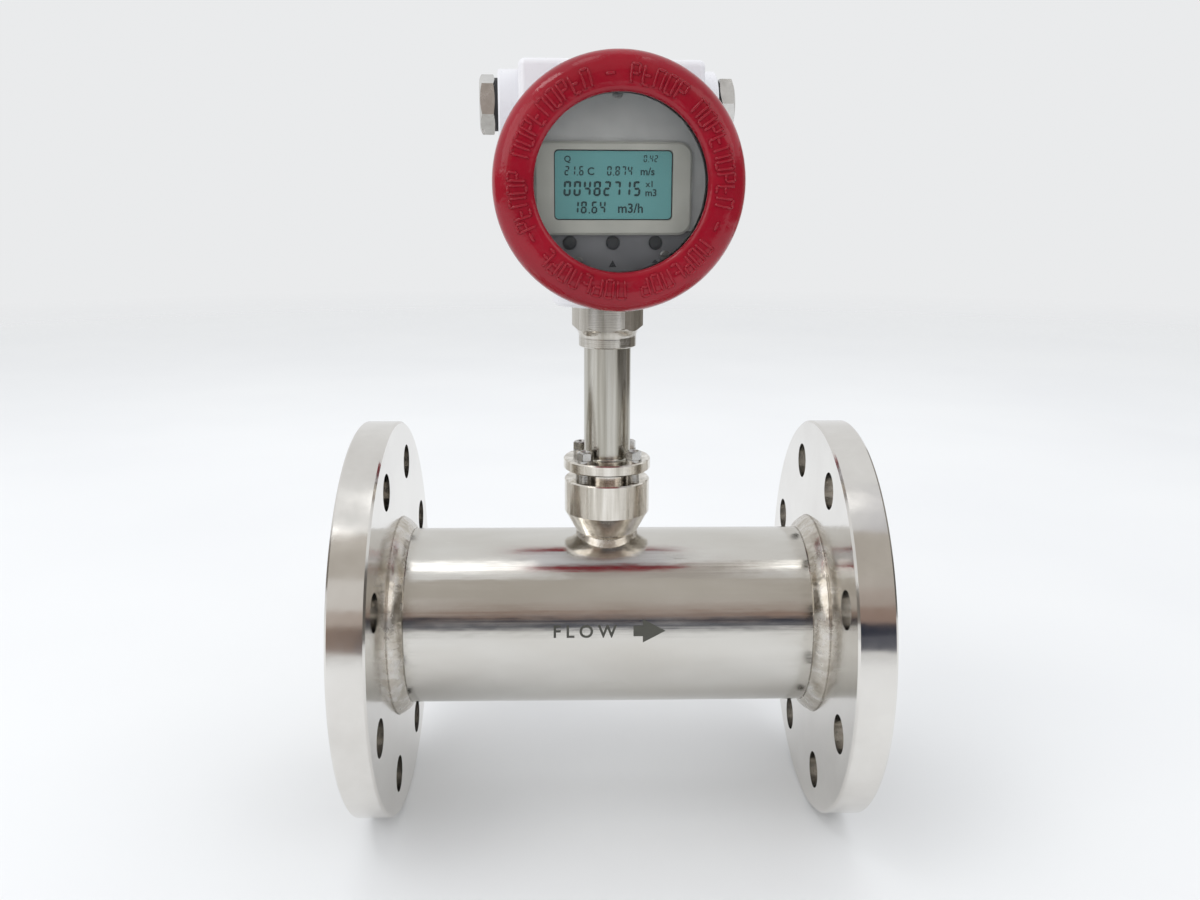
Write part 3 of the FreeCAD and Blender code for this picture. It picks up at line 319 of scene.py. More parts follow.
def bright_nickel():
    finish = Finish("bright_nickel", Metallic=1.0)
    wear = finish.noise(210, 4.0)
    finish.set("Base Color", finish.shade(wear, (0.60, 0.59, 0.57), (0.72, 0.71, 0.69)))
    finish.set("Roughness", finish.spread(wear, 0.16, 0.30))
    finish.set("Normal", finish.bump(wear, 0.00005, strength=0.3))
    return finish


def weld_metal():
    """Bare weld: bright crests, straw and grey heat tint between them."""
    finish = Finish("weld_metal", Metallic=1.0)
    heat = finish.noise(120, 5.0, 0.6)
    finish.set("Base Color", finish.colours(heat, (0.30, (0.40, 0.36, 0.30)), (0.5, (0.60, 0.56, 0.50)),
                                            (0.7, (0.74, 0.72, 0.69))))
    finish.set("Roughness", finish.spread(heat, 0.16, 0.34))
    finish.set("Normal", finish.bump(finish.noise(900, 3.0), 0.00012, strength=0.4))
    return finish


def red_enamel():
    """Thick glossy enamel over a casting: a slow waviness under a slight orange peel."""
    finish = Finish("red_enamel", Specular_IOR_Level=0.38)
    drift = finish.noise(30, 3.0)
    finish.set("Base Color", finish.shade(drift, (0.235, 0.0035, 0.013), (0.300, 0.0065, 0.019)))
    finish.set("Roughness", finish.spread(finish.noise(260, 3.0), 0.08, 0.20))
    peel = finish.bump(finish.noise(620, 2.0), 0.00012, strength=0.45)
    finish.set("Normal", finish.bump(finish.noise(190, 3.0), 0.0005, peel, strength=0.45))
    return finish


def white_enamel():
    finish = Finish("white_enamel", Coat_Weight=0.3, Coat_Roughness=0.1)
    drift = finish.noise(22, 3.0)
    finish.set("Base Color", finish.shade(drift, (0.72, 0.72, 0.76), (0.80, 0.80, 0.83)))
    finish.set("Roughness", finish.spread(finish.noise(300, 3.0), 0.26, 0.40))
    finish.set("Normal", finish.bump(finish.noise(650, 2.0), 0.00008, strength=0.4))
    return finish


def moulded(name, dark, light, rough=(0.35, 0.5), grain=700, depth=0.00004):
    """A moulded or printed plastic with fine grain."""
    finish = Finish(name)
    finish.set("Base Color", finish.shade(finish.noise(60, 4.0), dark, light))
    finish.set("Roughness", finish.spread(finish.noise(grain, 3.0), rough[0], rough[1]))
    finish.set("Normal", finish.bump(finish.noise(grain * 2, 2.0), depth, strength=0.5))
    return finish


def black_rubber():
    return moulded("black_rubber", (0.012, 0.012, 0.013), (0.03, 0.03, 0.032), (0.5, 0.7), 900, 0.00006)


def metal(name, dark, light, rough=(0.25, 0.4), scale=200):
    """A plain metal with slight wear."""
    finish = Finish(name, Metallic=1.0)
    wear = finish.noise(scale, 4.0)
    finish.set("Base Color", finish.shade(wear, dark, light))
    finish.set("Roughness", finish.spread(wear, rough[0], rough[1]))
    finish.set("Normal", finish.bump(wear, 0.00003, strength=0.4))
    return finish


def clear_window():
    """Flat glass: almost see-through face on, and glossier where it is seen on the slant."""
    finish = Finish("clear_window", Roughness=0.03, IOR=1.5, Specular_IOR_Level=0.8)
    slant = finish.node("LayerWeight", {"Blend": 0.25}).outputs["Facing"]
    smudge = finish.noise(55, 4.0)
    finish.set("Base Color", finish.shade(smudge, (0.10, 0.12, 0.12), (0.16, 0.18, 0.18)))
    finish.set("Alpha", finish.maths("ADD", finish.between(slant, 0.03, 0.45), finish.between(smudge, 0.0, 0.03)))
    return finish


def screen_face():
    """The liquid-crystal glass: teal, with painted shade that leaves it a little lighter in the middle and darker
    towards its frame, and the faint cell grid.
    """
    finish = Finish("screen_face", Roughness=0.22, Specular_IOR_Level=0.4)
    # distance from the screen's middle: the teal darkens outwards, painted shade from the frame round the screen
    across = finish.stretched(scale=(19, 19, 34), centre=(0, 0, HEAD_Z))
    spread = finish.node("VectorMath", {0: across}, operation="LENGTH").outputs["Value"]
    grid = finish.noise(1500, 1.0)
    mixed = finish.maths("ADD", spread, finish.between(grid, -0.04, 0.04))
    finish.set("Base Color", finish.colours(mixed, (0.0, (0.190, 0.440, 0.435)), (0.75, (0.150, 0.375, 0.375))))
    return finish


def dial_print():
    """The silver-grey dial: satin above, a darker strip behind the buttons."""
    finish = Finish("dial_print", Metallic=0.25)
    height = finish.node("SeparateXYZ", {0: finish.stretched(centre=(0, 0, HEAD_Z))}).outputs["Z"]
    strip = finish.between(height, 0.0, 1.0, DIAL_STRIP - STRIP_BLUR, DIAL_STRIP + STRIP_BLUR)
    drift = finish.noise(90, 4.0)
    upper = finish.shade(drift, (0.51, 0.52, 0.51), (0.59, 0.60, 0.585))
    lower = finish.shade(drift, (0.175, 0.175, 0.185), (0.225, 0.225, 0.235))
    mixed = finish.node("Mix", {0: strip, 6: lower, 7: upper}, data_type="RGBA")
    finish.set("Base Color", mixed.outputs[2])
    finish.set("Roughness", finish.spread(finish.noise(800, 2.0), 0.32, 0.46))
    return finish


def circuit_green():
    finish = Finish("circuit_green", Roughness=0.35)
    tracks = finish.node("TexVoronoi", {"Vector": finish.place, "Scale": 320.0}, distance="MANHATTAN",
                         feature="F1").outputs["Distance"]
    finish.set("Base Color", finish.colours(tracks, (0.25, (0.02, 0.12, 0.055)), (0.45, (0.015, 0.20, 0.085))))
    finish.set("Normal", finish.bump(tracks, 0.00004, strength=0.5))
    return finish


# ---------------------------------------------------------------- mesh helpers
def piece(name, mesh_builder, body, finish, place=None):
    """Makes a piece from a function that fills a bmesh, places it in its mesh, and puts it on its body."""
    bm = bmesh.new()
    mesh_builder(bm)
    if place is not None:
        bmesh.ops.transform(bm, matrix=place, verts=bm.verts)
    bmesh.ops.recalc_face_normals(bm, faces=bm.faces)
    mesh = bpy.data.meshes.new(name)
    bm.to_mesh(mesh)
    bm.free()
    return settle(name, mesh, body, finish)


def settle(name, mesh, body, finish):
    """Gives a mesh its finish and its body."""
    made = bpy.data.objects.new(name, mesh)
    bpy.context.scene.collection.objects.link(made)
    if finish is not None:
        mesh.materials.clear()
        mesh.materials.append(finish.material)
    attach(made, body)
    return made


def swept_ring(bm, steps, profile_at):
    """A closed ring: profile_at(share round) gives the points of one section."""
    rings = [[bm.verts.new(p) for p in profile_at(n / steps)] for n in range(steps)]
    for n, ring in enumerate(rings):
        after = rings[(n + 1) % steps]
        for k in range(len(ring)):
            m = (k + 1) % len(ring)
            face = bm.faces.new((ring[k], after[k], after[m], ring[m]))
            face.smooth = True


def block(bm, width, height, depth, x, y, z):
    """A plain block with its underside at z."""
    made = bmesh.ops.create_cube(bm, size=1.0)["verts"]
    bmesh.ops.scale(bm, vec=(width, height, depth), verts=made)
    bmesh.ops.translate(bm, vec=(x, y, z + depth / 2), verts=made)


def outline_solid(bm, points, low, high):
    """A flat outline given thickness, from low to high in z."""
    bottom = [bm.verts.new((x, y, low)) for x, y in points]
    top = [bm.verts.new((x, y, high)) for x, y in points]
    bm.faces.new(bottom[::-1])
    bm.faces.new(top)
    for k in range(len(points)):
        m = (k + 1) % len(points)
        bm.faces.new((bottom[k], bottom[m], top[m], top[k]))


# ---------------------------------------------------------------- repeated details, by geometry nodes
class Pattern:
    """A geometry-node tree with named size inputs, turned into a plain mesh at the end."""

    def __init__(self, name):
        self.name = name
        self.tree = bpy.data.node_groups.new(name, "GeometryNodeTree")
        self.source = self.tree.nodes.new("NodeGroupInput")
        self.sink = self.tree.nodes.new("NodeGroupOutput")
        self.tree.interface.new_socket("Geometry", in_out="OUTPUT", socket_type="NodeSocketGeometry")
        self.values = {}

    def size(self, label, value, kind="NodeSocketFloat"):
        socket = self.tree.interface.new_socket(label, in_out="INPUT", socket_type=kind)
        self.values[socket.identifier] = value
        return self.source.outputs[label]

    def node(self, kind, inputs=None, **settings):
        made = self.tree.nodes.new(kind)
        for name, value in settings.items():
            setattr(made, name, value)
        for name, value in (inputs or {}).items():
            if isinstance(value, bpy.types.NodeSocket):
                self.tree.links.new(value, made.inputs[name])
            else:
                made.inputs[name].default_value = value
        return made

    def finished(self, geometry, finish, place=None):
        """Realizes the instances, sets the material, and returns the result as a mesh placed in the row frame."""
        real = self.node("GeometryNodeRealizeInstances", {"Geometry": geometry}).outputs[0]
        dressed = self.node("GeometryNodeSetMaterial", {"Geometry": real, "Material": finish.material}).outputs[0]
        self.tree.links.new(dressed, self.sink.inputs[0])
        carrier = bpy.data.objects.new(self.name, bpy.data.meshes.new(self.name + "_seed"))
        bpy.context.scene.collection.objects.link(carrier)
        modifier = carrier.modifiers.new(self.name, "NODES")
        modifier.node_group = self.tree
        for identifier, value in self.values.items():
            modifier[identifier] = value
        bpy.context.view_layer.update()
        mesh = bpy.data.meshes.new_from_object(carrier.evaluated_get(bpy.context.evaluated_depsgraph_get()))
        mesh.name = self.name
        carrier.modifiers.remove(modifier)
        bpy.data.objects.remove(carrier)
        if place is not None:
            mesh.transform(place)
        return mesh


def fillet_bead(name, toes_at, scales, height, steps, finish):
    """A hand-laid weld run in a closed loop: a rounded fillet with overlapping scales and an uneven width.

    toes_at(angle) gives the low toe, the high toe and the hidden root of the fillet at an angle.
    """
    def section(share):
        low, high, root = toes_at(share * TURN)
        outward = ((low + high) / 2 - root).normalized()
        waver = (math.sin(3 * share * TURN + 1.0) + math.sin(8 * share * TURN + 2.0)
                 + math.sin(19 * share * TURN)) / 3
        points = []
        for n in range(BEAD_POINTS + 1):
            belly = math.sin(math.pi * n / BEAD_POINTS)
            crest = abs(math.sin(math.pi * (share * scales + BEAD_SWEEP * belly + BEAD_DRIFT * waver)))
            lift = belly * height * (BEAD_BODY + BEAD_SCALE * crest ** BEAD_SHARPNESS + BEAD_WAVER * waver)
            points.append(low.lerp(high, n / BEAD_POINTS) + outward * lift)
        return points + [root]

    return piece(name, lambda bm: swept_ring(bm, steps, section), "meter_body", finish)


def flange_bead(name, side, finish):
    """The run between the tube and a flange's inner face. side is +1 at the outlet, -1 at the inlet."""
    toe_r, face_x = WELD_R + 0.3 * MM, FLANGE_INNER_X + BEAD_SINK
    toe_x, root_r = WELD_TIP_X - 0.4 * MM, TUBE_R - 0.1 * MM

    def toes_at(angle):
        across, up = math.sin(angle), math.cos(angle)
        return (Vector((side * toe_x, root_r * across, AXIS_Z + root_r * up)),
                Vector((side * face_x, toe_r * across, AXIS_Z + toe_r * up)),
                Vector((side * face_x, root_r * across, AXIS_Z + root_r * up)))
    return fillet_bead(name, toes_at, FLANGE_BEAD_SCALES, FLANGE_BEAD_HEIGHT, FLANGE_BEAD_STEPS, finish)


def boss_bead(finish):
    """The small saddle-shaped run round the foot of the boss."""
    def toes_at(angle):
        def on_pipe(radius, lift):
            x, y = radius * math.cos(angle), radius * math.sin(angle)
            return Vector((x, y, AXIS_Z + math.sqrt(TUBE_R ** 2 - y * y) + lift))
        return (on_pipe(BOSS_WELD_R + 0.2 * MM, -BEAD_SINK), on_pipe(BOSS_FOOT_R - BEAD_SINK, BOSS_WELD_H),
                on_pipe(BOSS_FOOT_R - BEAD_SINK, -BEAD_SINK))
    return fillet_bead("boss_bead", toes_at, BOSS_BEAD_SCALES, BOSS_BEAD_HEIGHT, BOSS_BEAD_STEPS, finish)


def stud_threads(finish):
    """The thread crests of the four bolts, seen in the slot between the boss and the stem plate."""
    pattern = Pattern("stem_bolt_threads")
    crest = pattern.size("Crest radius", BOLT_R - THREAD_INSET)
    depth = pattern.size("Thread depth", THREAD_DEPTH)
    turns = pattern.size("Turns", THREAD_TURNS, "NodeSocketInt")
    path = pattern.node("GeometryNodeCurvePrimitiveCircle", {"Resolution": THREAD_SIDES, "Radius": crest})
    section = pattern.node("GeometryNodeCurvePrimitiveCircle", {"Resolution": THREAD_SECTION_SIDES, "Radius": depth})
    ring = pattern.node("GeometryNodeCurveToMesh", {"Curve": path.outputs[0],
                                                    "Profile Curve": section.outputs[0]}).outputs[0]
    smooth = pattern.node("GeometryNodeSetShadeSmooth", {"Geometry": ring}).outputs[0]
    stack = pattern.node("GeometryNodeMeshLine", {"Count": turns, "Offset": (0.0, 0.0, THREAD_PITCH),
                                                  "Start Location": (0.0, 0.0, THREAD_START)}).outputs[0]
    one = pattern.node("GeometryNodeInstanceOnPoints", {"Points": stack, "Instance": smooth}).outputs[0]
    four = pattern.node("GeometryNodeMeshCircle", {"Vertices": BOLT_COUNT, "Radius": BOLT_CIRCLE_R}).outputs[0]
    all_four = pattern.node("GeometryNodeInstanceOnPoints", {"Points": four, "Instance": one}).outputs[0]
    mesh = pattern.finished(all_four, finish, Matrix.Rotation(BOLT_ANGLE, 4, "Z"))
    return settle("stem_bolt_threads", mesh, "meter_body", None)


# ---------------------------------------------------------------- the cover's raised border
def shoulder_height(radius):
    """Height of the front cover's face above the head's centre, at a distance from its axis."""
    over = max(0.0, radius - (COVER_R - COVER_SHOULDER))
    return COVER_FRONT - COVER_SHOULDER + math.sqrt(max(0.0, COVER_SHOULDER ** 2 - over ** 2))


def ridge(bm, path):
    """A raised rounded stroke on the cover's face. path is a list of (radius, angle)."""
    centres = [Vector((r * math.sin(a), r * math.cos(a), shoulder_height(r))) for r, a in path]
    rings = []
    for n, (radius, angle) in enumerate(path):
        along = (centres[min(n + 1, len(path) - 1)] - centres[max(n - 1, 0)]).normalized()
        slope = (shoulder_height(radius + 0.1 * MM) - shoulder_height(radius - 0.1 * MM)) / (0.2 * MM)
        outward = Vector((math.sin(angle), math.cos(angle), 0))
        up = (Vector((0, 0, 1)) - outward * slope).normalized()
        side = along.cross(up).normalized()
        end = STROKE_END if n in (0, len(path) - 1) else 1.0
        rings.append([bm.verts.new(centres[n] + side * (u * STROKE) + up * (v * STROKE_RISE * (end if v > 0 else 1)))
                      for u, v in STROKE_SECTION])
    for a, b in zip(rings, rings[1:]):
        for k in range(len(STROKE_SECTION)):
            m = (k + 1) % len(STROKE_SECTION)
            bm.faces.new((a[k], a[m], b[m], b[k])).smooth = True
    bm.faces.new(rings[0][::-1])
    bm.faces.new(rings[-1])


def radial_stroke(bm, angle, inner, outer):
    ridge(bm, [(inner + (outer - inner) * n / RADIAL_STEPS, angle) for n in range(RADIAL_STEPS + 1)])


def arc_stroke(bm, radius, start, end):
    steps = max(2, round(abs(end - start) * radius / STROKE_STEP))
    ridge(bm, [(radius, start + (end - start) * n / steps) for n in range(steps + 1)])


def raised_border(finish):
    """A cast border of square key-pattern strokes, in runs parted by long dashes."""
    def build(bm):
        inner, outer = BORDER_INNER, BORDER_OUTER
        middle = (inner + outer) / 2
        slot_angle = TURN / BORDER_SLOTS
        for start, length in BORDER_RUNS:
            for n in range(length):
                here = (start + n) * slot_angle
                width = slot_angle * STROKE_SHARE
                left, right = here - width / 2, here + width / 2
                kind = (n * 5 + start) % 4      # four shapes of stroke, in a fixed round
                radial_stroke(bm, left, inner, outer)
                if kind != 2:
                    arc_stroke(bm, outer, left, right)
                if kind in (0, 2):
                    arc_stroke(bm, inner, left, right)
                if kind in (1, 2):
                    arc_stroke(bm, middle, left, right)
                if kind in (0, 1, 3):
                    radial_stroke(bm, right, middle if kind == 1 else inner, outer)
        for start, length in BORDER_DASHES:
            arc_stroke(bm, middle, (start - 0.4) * slot_angle, (start + length - 0.6) * slot_angle)
    return piece("front_cover_border", build, "front_cover_ring", finish, HEAD_PLACE)


# ---------------------------------------------------------------- the display
def segment_digit(bm, figure, height, x, y, z):
    """One seven-segment figure, slightly slanted, with its lower left corner at x, y."""
    width, stroke, gap, half = height * FIGURE_WIDTH, height * FIGURE_STROKE, height * FIGURE_GAP, height / 2
    across = {"a": height - stroke / 2, "g": half, "d": stroke / 2}
    upright = {"b": (width, half), "c": (width, 0.0), "f": (0.0, half), "e": (0.0, 0.0)}
    for name in SEGMENTS[figure]:
        if name in across:
            v, u0, u1, s = across[name], gap + stroke * 0.3, width - gap - stroke * 0.3, stroke / 2
            shape = [(u0, v), (u0 + s, v - s), (u1 - s, v - s), (u1, v), (u1 - s, v + s), (u0 + s, v + s)]
        else:
            u, base = upright[name]
            u, s = u + (stroke / 2 if u == 0.0 else -stroke / 2), stroke / 2
            v0, v1 = base + gap + stroke * 0.3, base + half - gap
            shape = [(u, v0), (u + s, v0 + s), (u + s, v1 - s), (u, v1), (u - s, v1 - s), (u - s, v0 + s)]
        outline_solid(bm, [(x + u + v * FIGURE_SLANT, y + v) for u, v in shape], z, z + INK)


def number_row(bm, figures, height, x, y, z):
    """A row of segment figures. A point is a small square between two figures."""
    for figure in figures:
        if figure == ".":
            s = height * POINT_SIZE
            outline_solid(bm, [(x, y), (x + s, y), (x + s, y + s), (x, y + s)], z, z + INK)
            x += height * POINT_STEP
        else:
            segment_digit(bm, figure, height, x, y, z)
            x += height * FIGURE_STEP


def printed_word(bm, word, height, x, y, z, spacing=1.0):
    """A plain word as a thin solid, its lower left corner at x, y."""
    curve = bpy.data.curves.new("word", "FONT")
    curve.body, curve.size, curve.space_character = word, height * FONT_PER_HEIGHT, spacing
    curve.extrude, curve.offset = INK / 2, height * WORD_BOLDNESS
    carrier = bpy.data.objects.new("word", curve)
    bpy.context.scene.collection.objects.link(carrier)
    bpy.context.view_layer.update()
    mesh = bpy.data.meshes.new_from_object(carrier.evaluated_get(bpy.context.evaluated_depsgraph_get()))
    low = min(v.co.x for v in mesh.vertices)
    mesh.transform(Matrix.Translation((x - low, y, z + INK / 2)))
    bm.from_mesh(mesh)
    bpy.data.objects.remove(carrier)
    bpy.data.curves.remove(curve)


def screen_readings(finish):
    """The screen's figures and units, raised by the thickness of ink."""
    low, high = face_span("lcd_screen")

    def build(bm):
        for kind, text, height, right, up in SCREEN_ROWS:
            draw = printed_word if kind == "word" else number_row
            draw(bm, text, height * MM, low.x + right * MM, low.y + up * MM, high.z + READING_LIFT)
    return piece("screen_readings", build, "head", finish, HEAD_PLACE)


def screen_rim(finish):
    """The thin dark line between the screen and its frame."""
    low, high = face_span("lcd_screen")
    middle, half_w, half_h = (low + high) / 2, (high.x - low.x) / 2, (high.y - low.y) / 2

    def rounded(inset):
        w, h, r = half_w - inset, half_h - inset, RIM_CORNER - inset * 0.5
        points = []
        for quarter, (sx, sy) in enumerate(((1, 1), (-1, 1), (-1, -1), (1, -1))):
            for n in range(RIM_STEPS + 1):
                a = math.radians(90 * quarter + 90 * n / RIM_STEPS)
                points.append((middle.x + sx * (w - r) + r * math.cos(a), middle.y + sy * (h - r) + r * math.sin(a)))
        return points

    def build(bm):
        outer, inner = rounded(RIM_INSET), rounded(RIM_LINE)
        count, raised = len(outer), high.z + RIM_RISE
        loops = [[bm.verts.new((x, y, z)) for x, y in ring]
                 for ring, z in ((outer, high.z), (outer, raised), (inner, raised), (inner, high.z))]
        for a, b in zip(loops, loops[1:] + loops[:1]):
            for k in range(count):
                m = (k + 1) % count
                bm.faces.new((a[k], a[m], b[m], b[k]))
    return piece("screen_rim", build, "head", finish, HEAD_PLACE)


def dial_symbols(finish):
    """Key symbols printed under the buttons: back, step up, enter. A thin line parts the dial above the buttons."""
    low, high = face_span("face_panel")
    top = high.z + PRINT_LIFT

    def build(bm):
        for n, name in enumerate(("left_button", "middle_button", "right_button")):
            b_low, b_high = face_span(name)
            x, y, s = (b_low.x + b_high.x) / 2, b_low.y - SYMBOL_DROP, SYMBOL
            back = [(x - s, y), (x + s * 0.7, y - s), (x + s * 0.7, y + s)]
            step_up = [(x - s, y - s * 0.8), (x + s, y - s * 0.8), (x, y + s)]
            bar = [(x - s, y - s), (x + s, y - s), (x + s, y - s * 0.6), (x - s, y - s * 0.6)]
            cap = [(x - s, y + s * 0.2), (x + s, y + s * 0.2), (x, y + s * 1.2)]
            for outline in ((back,), (step_up,), (bar, cap))[n]:
                outline_solid(bm, outline, top, top + INK)
        line_y = b_high.y + STRIP_OVER_BUTTONS
        half = math.sqrt(max(0.0, (high.x - low.x) ** 2 / 4 - line_y ** 2)) - DIAL_LINE_INSET
        block(bm, 2 * half, DIAL_LINE, INK, x=0, y=line_y, z=top)
    return piece("dial_symbols", build, "head", finish, HEAD_PLACE)


# ---------------------------------------------------------------- the flow arrow on the tube
def etched_arrow(finish):
    """The arrow and the word FLOW, etched on the front of the tube a little above its middle."""
    def build(bm):
        outline_solid(bm, [(ARROW_TAIL, -ARROW_SHAFT), (ARROW_NECK, -ARROW_SHAFT), (ARROW_NECK, -ARROW_HEAD),
                           (ARROW_TIP, 0), (ARROW_NECK, ARROW_HEAD), (ARROW_NECK, ARROW_SHAFT),
                           (ARROW_TAIL, ARROW_SHAFT)], 0, INK)
        printed_word(bm, "FLOW", FLOW_HEIGHT, FLOW_LEFT, FLOW_LOW, 0, FLOW_SPACING)
        for n in range(-BEND_STEPS, BEND_STEPS + 1):
            geometry = bm.verts[:] + bm.edges[:] + bm.faces[:]
            bmesh.ops.bisect_plane(bm, geom=geometry, plane_co=(0, n * BEND_STEP, 0), plane_no=(0, 1, 0))
        for vert in bm.verts:
            reach, angle = TUBE_R + PRINT_LIFT + vert.co.z, ARROW_ANGLE + vert.co.y / TUBE_R
            vert.co = Vector((vert.co.x, -reach * math.cos(angle), AXIS_Z + reach * math.sin(angle)))
    return piece("flow_arrow", build, "meter_body", finish)


# ---------------------------------------------------------------- studio
def studio_floor():
    """A round sheet of pale paper that fades out far behind."""
    mesh = bpy.data.meshes.new("studio_floor")
    bm = bmesh.new()
    bmesh.ops.create_circle(bm, cap_ends=True, segments=FLOOR_SIDES, radius=FLOOR_RADIUS)
    bm.to_mesh(mesh)
    bm.free()
    floor = bpy.data.objects.new("studio_floor", mesh)
    bpy.context.scene.collection.objects.link(floor)
    paper = Finish("studio_paper", Roughness=0.7, Specular_IOR_Level=0.05)
    away = paper.radius_from((0, 0, 0), "Z")
    paper.set("Base Color", paper.shade(paper.noise(3, 2.0), (0.80, 0.81, 0.825), (0.83, 0.84, 0.85)))
    paper.set("Alpha", paper.between(away, 1.0, 0.0, FLOOR_FADE_FROM, FLOOR_FADE_TO))
    mesh.materials.append(paper.material)
    return floor


def studio_card(name, size, place, turn, tone):
    """A card of even tone that only mirrors see: it gives the polished metal something to reflect."""
    mesh = bpy.data.meshes.new(name)
    bm = bmesh.new()
    bmesh.ops.create_grid(bm, x_segments=1, y_segments=1, size=0.5)
    bmesh.ops.scale(bm, vec=(size[0], size[1], 1), verts=bm.verts)
    bm.to_mesh(mesh)
    bm.free()
    card = bpy.data.objects.new(name, mesh)
    card.location, card.rotation_euler = place, [math.radians(t) for t in turn]
    card.visible_camera = card.visible_diffuse = card.visible_shadow = False
    bpy.context.scene.collection.objects.link(card)
    cloth = bpy.data.materials.new(name)
    cloth.use_nodes = True
    tree = cloth.node_tree
    tree.nodes.clear()
    glow = tree.nodes.new("ShaderNodeEmission")
    glow.inputs["Color"].default_value = (*tone, 1)
    sink = tree.nodes.new("ShaderNodeOutputMaterial")
    tree.links.new(glow.outputs[0], sink.inputs[0])
    mesh.materials.append(cloth)
    return card


def studio_air():
    """An even pale surround. It lights a little more strongly than it shows."""
    world = bpy.data.worlds.new("studio_air")
    bpy.context.scene.world = world
    world.use_nodes = True
    tree = world.node_tree
    path = tree.nodes.new("ShaderNodeLightPath")
    seen = path.outputs["Is Camera Ray"]
    for ray in ("Is Glossy Ray", "Is Transmission Ray"):
        either = tree.nodes.new("ShaderNodeMath")
        either.operation = "MAXIMUM"
        tree.links.new(seen, either.inputs[0])
        tree.links.new(path.outputs[ray], either.inputs[1])
        seen = either.outputs[0]
    level = tree.nodes.new("ShaderNodeMapRange")
    level.inputs["To Min"].default_value, level.inputs["To Max"].default_value = AIR_LIGHTING, AIR_SEEN
    tree.links.new(seen, level.inputs["Value"])
    air = tree.nodes["Background"]
    air.inputs["Color"].default_value = AIR_COLOUR
    tree.links.new(level.outputs[0], air.inputs["Strength"])


def studio_lamp(name, place, aim, size, power, mirrored):
    """A soft lamp aimed at a point. mirrored says whether the polished metal shows it."""
    lamp = bpy.data.lights.new(name, "AREA")
    lamp.shape, lamp.size, lamp.size_y, lamp.energy = "RECTANGLE", size[0], size[1], power
    holder = bpy.data.objects.new(name, lamp)
    holder.location = place
    holder.rotation_euler = (Vector(aim) - Vector(place)).to_track_quat("-Z", "Y").to_euler()
    holder.visible_glossy = mirrored
    bpy.context.scene.collection.objects.link(holder)


def studio():
    floor = studio_floor()
    cards = [studio_card(*card) for card in STUDIO_CARDS]
    studio_air()
    for lamp in STUDIO_LAMPS:
        studio_lamp(*lamp)
    bpy.context.scene.view_settings.view_transform = "Standard"


def camera():
    """A camera in front of the display, tipped down, that takes in the whole meter."""
    lens = bpy.data.cameras.new("studio_camera")
    lens.lens, lens.sensor_width, lens.clip_start = CAMERA_LENS, CAMERA_SENSOR, 10 * MM
    holder = bpy.data.objects.new("studio_camera", lens)
    yaw, pitch, roll = (math.radians(a) for a in CAMERA_AIM)
    ahead = Vector((math.sin(yaw) * math.cos(pitch), math.cos(yaw) * math.cos(pitch), -math.sin(pitch)))
    right = Vector((math.cos(yaw), -math.sin(yaw), 0))
    up = right.cross(ahead)
    turned = Matrix((right, up, -ahead)).transposed().to_4x4() @ Matrix.Rotation(roll, 4, "Z")
    holder.matrix_world = Matrix.Translation(CAMERA_PLACE) @ turned
    bpy.context.scene.collection.objects.link(holder)
    bpy.context.scene.camera = holder


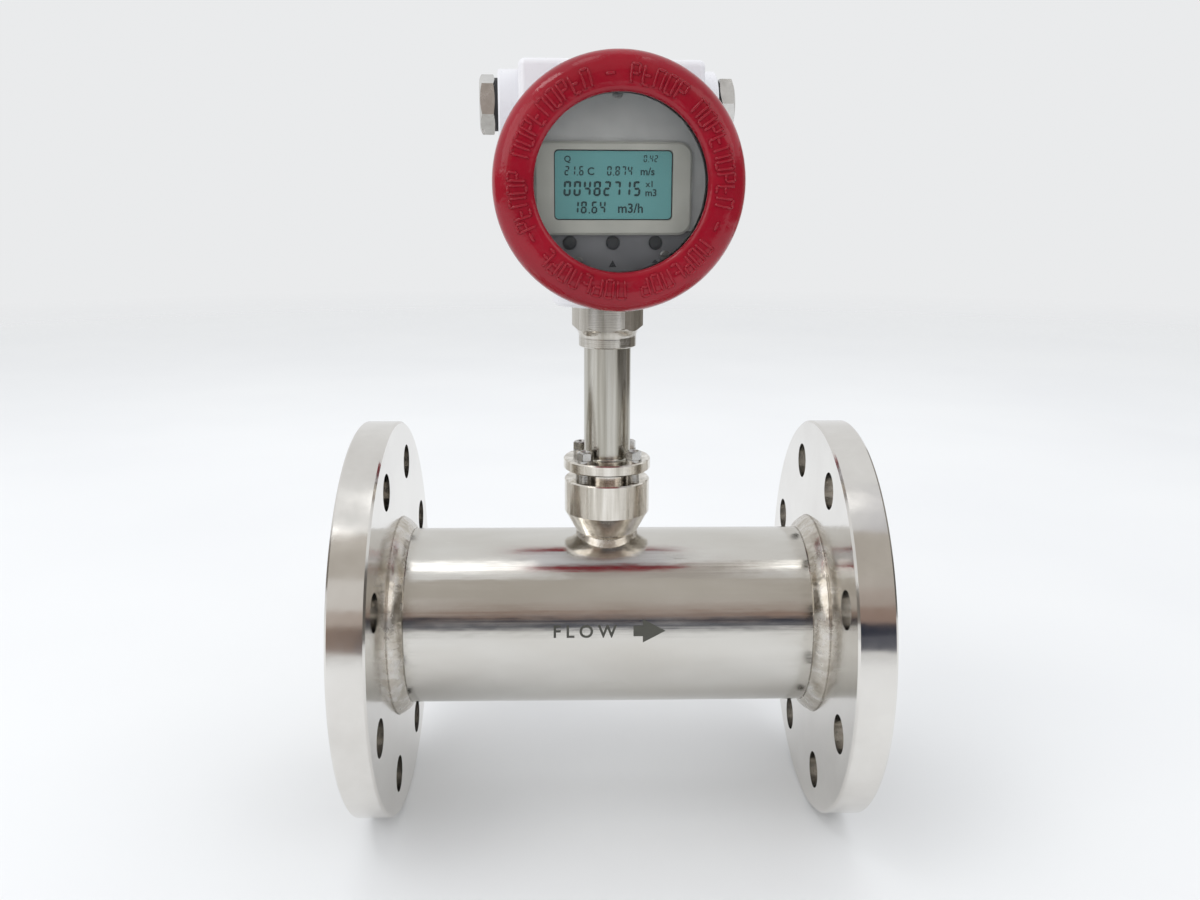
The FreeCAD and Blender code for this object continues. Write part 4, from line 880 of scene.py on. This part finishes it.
# ---------------------------------------------------------------- dressing the meter
def dress_cad():
    """Puts a finish on every CAD node."""
    polished_pipe().dress("flow_tube")
    drawn_stem().dress("stem_tube")
    faced_flange().dress("inlet_flange", "outlet_flange")
    turned_steel().dress("hex_adapter", "inlet_guide", "outlet_guide", "inlet_nose_cone", "outlet_tail_cone",
                         "pickup_can")
    # the boss and the stem plate: the turned steel painted 1.3 times lighter, painted light for the brighter
    # reflections they catch
    turned_steel("painted_lit_turned_steel", 1.3).dress("sensor_boss", "stem_plate")
    bright_nickel().dress("left_port_plug", "right_port_plug")
    metal("bolt_steel", (0.42, 0.41, 0.39), (0.64, 0.63, 0.61), (0.20, 0.34)).dress(
        "stem_bolts", "stem_spring_washers", "earth_screw", "earth_washer", "head_lock_screw", "terminal_screws",
        "guide_circlips", "pickup_magnet")
    metal("rotor_steel", (0.36, 0.36, 0.37), (0.50, 0.50, 0.51), (0.28, 0.42)).dress("turbine_rotor", "pickup_pole")
    metal("ground_carbide", (0.12, 0.12, 0.13), (0.20, 0.20, 0.21), (0.12, 0.22)).dress(
        "rotor_shaft", "shaft_bushes", "thrust_pads")
    metal("dark_anodised", (0.07, 0.07, 0.075), (0.11, 0.11, 0.115), (0.30, 0.42)).dress(
        "window_retainer", "rear_cover_slip_ring")
    metal("satin_screw", (0.30, 0.30, 0.30), (0.42, 0.42, 0.41), (0.35, 0.50)).dress("panel_screws")
    metal("bright_brass", (0.55, 0.40, 0.17), (0.70, 0.53, 0.25), (0.2, 0.3)).dress("board_posts")
    metal("wound_copper", (0.50, 0.20, 0.09), (0.66, 0.30, 0.14), (0.25, 0.35), 700).dress("pickup_winding")
    white_enamel().dress("head_housing")
    clear_window().dress("window_glass")
    black_rubber().dress("left_plug_gasket", "right_plug_gasket", "front_cover_seal", "rear_cover_seal",
                         "window_gasket", "pickup_seal")
    moulded("button_rubber", (0.020, 0.020, 0.023), (0.036, 0.036, 0.040), (0.4, 0.55)).dress(
        "left_button", "middle_button", "right_button")
    moulded("chip_plastic", (0.015, 0.015, 0.017), (0.03, 0.03, 0.032)).dress("main_board_chips", "tactile_switches")
    moulded("cable_jacket", (0.02, 0.02, 0.022), (0.05, 0.05, 0.052)).dress("signal_lead", "board_lead")
    moulded("natural_nylon", (0.55, 0.52, 0.45), (0.66, 0.63, 0.55)).dress("pickup_bobbin")
    moulded("green_nylon", (0.01, 0.12, 0.06), (0.02, 0.18, 0.09)).dress("terminal_block")
    moulded("bezel_plastic", (0.43, 0.43, 0.385), (0.52, 0.52, 0.465), (0.35, 0.45)).dress("screen_bezel")
    dial_print().dress("face_panel")
    screen_face().dress("lcd_screen")
    circuit_green().dress("display_board", "main_board", "terminal_board")


def dress_meter():
    """Finishes first, then the pieces that the solids leave out."""
    dress_cad()
    weld = weld_metal()
    weld.dress("inlet_flange_welds", "outlet_flange_welds", "boss_weld")
    flange_bead("outlet_bead", 1, weld)
    flange_bead("inlet_bead", -1, weld)
    boss_bead(weld)
    stud_threads(metal("thread_steel", (0.30, 0.29, 0.27), (0.55, 0.54, 0.52), (0.22, 0.36)))
    enamel = red_enamel().dress("front_cover", "rear_cover")
    raised_border(enamel)
    ink = moulded("dark_print", (0.010, 0.035, 0.040), (0.016, 0.050, 0.055), (0.4, 0.5))
    screen_readings(ink)
    black = moulded("black_print", (0.02, 0.02, 0.022), (0.035, 0.035, 0.04), (0.4, 0.5))
    dial_symbols(black)
    screen_rim(black)
    etched_arrow(moulded("etch_mark", (0.045, 0.045, 0.036), (0.075, 0.075, 0.062), (0.45, 0.6)))


dress_meter()
studio()
camera()
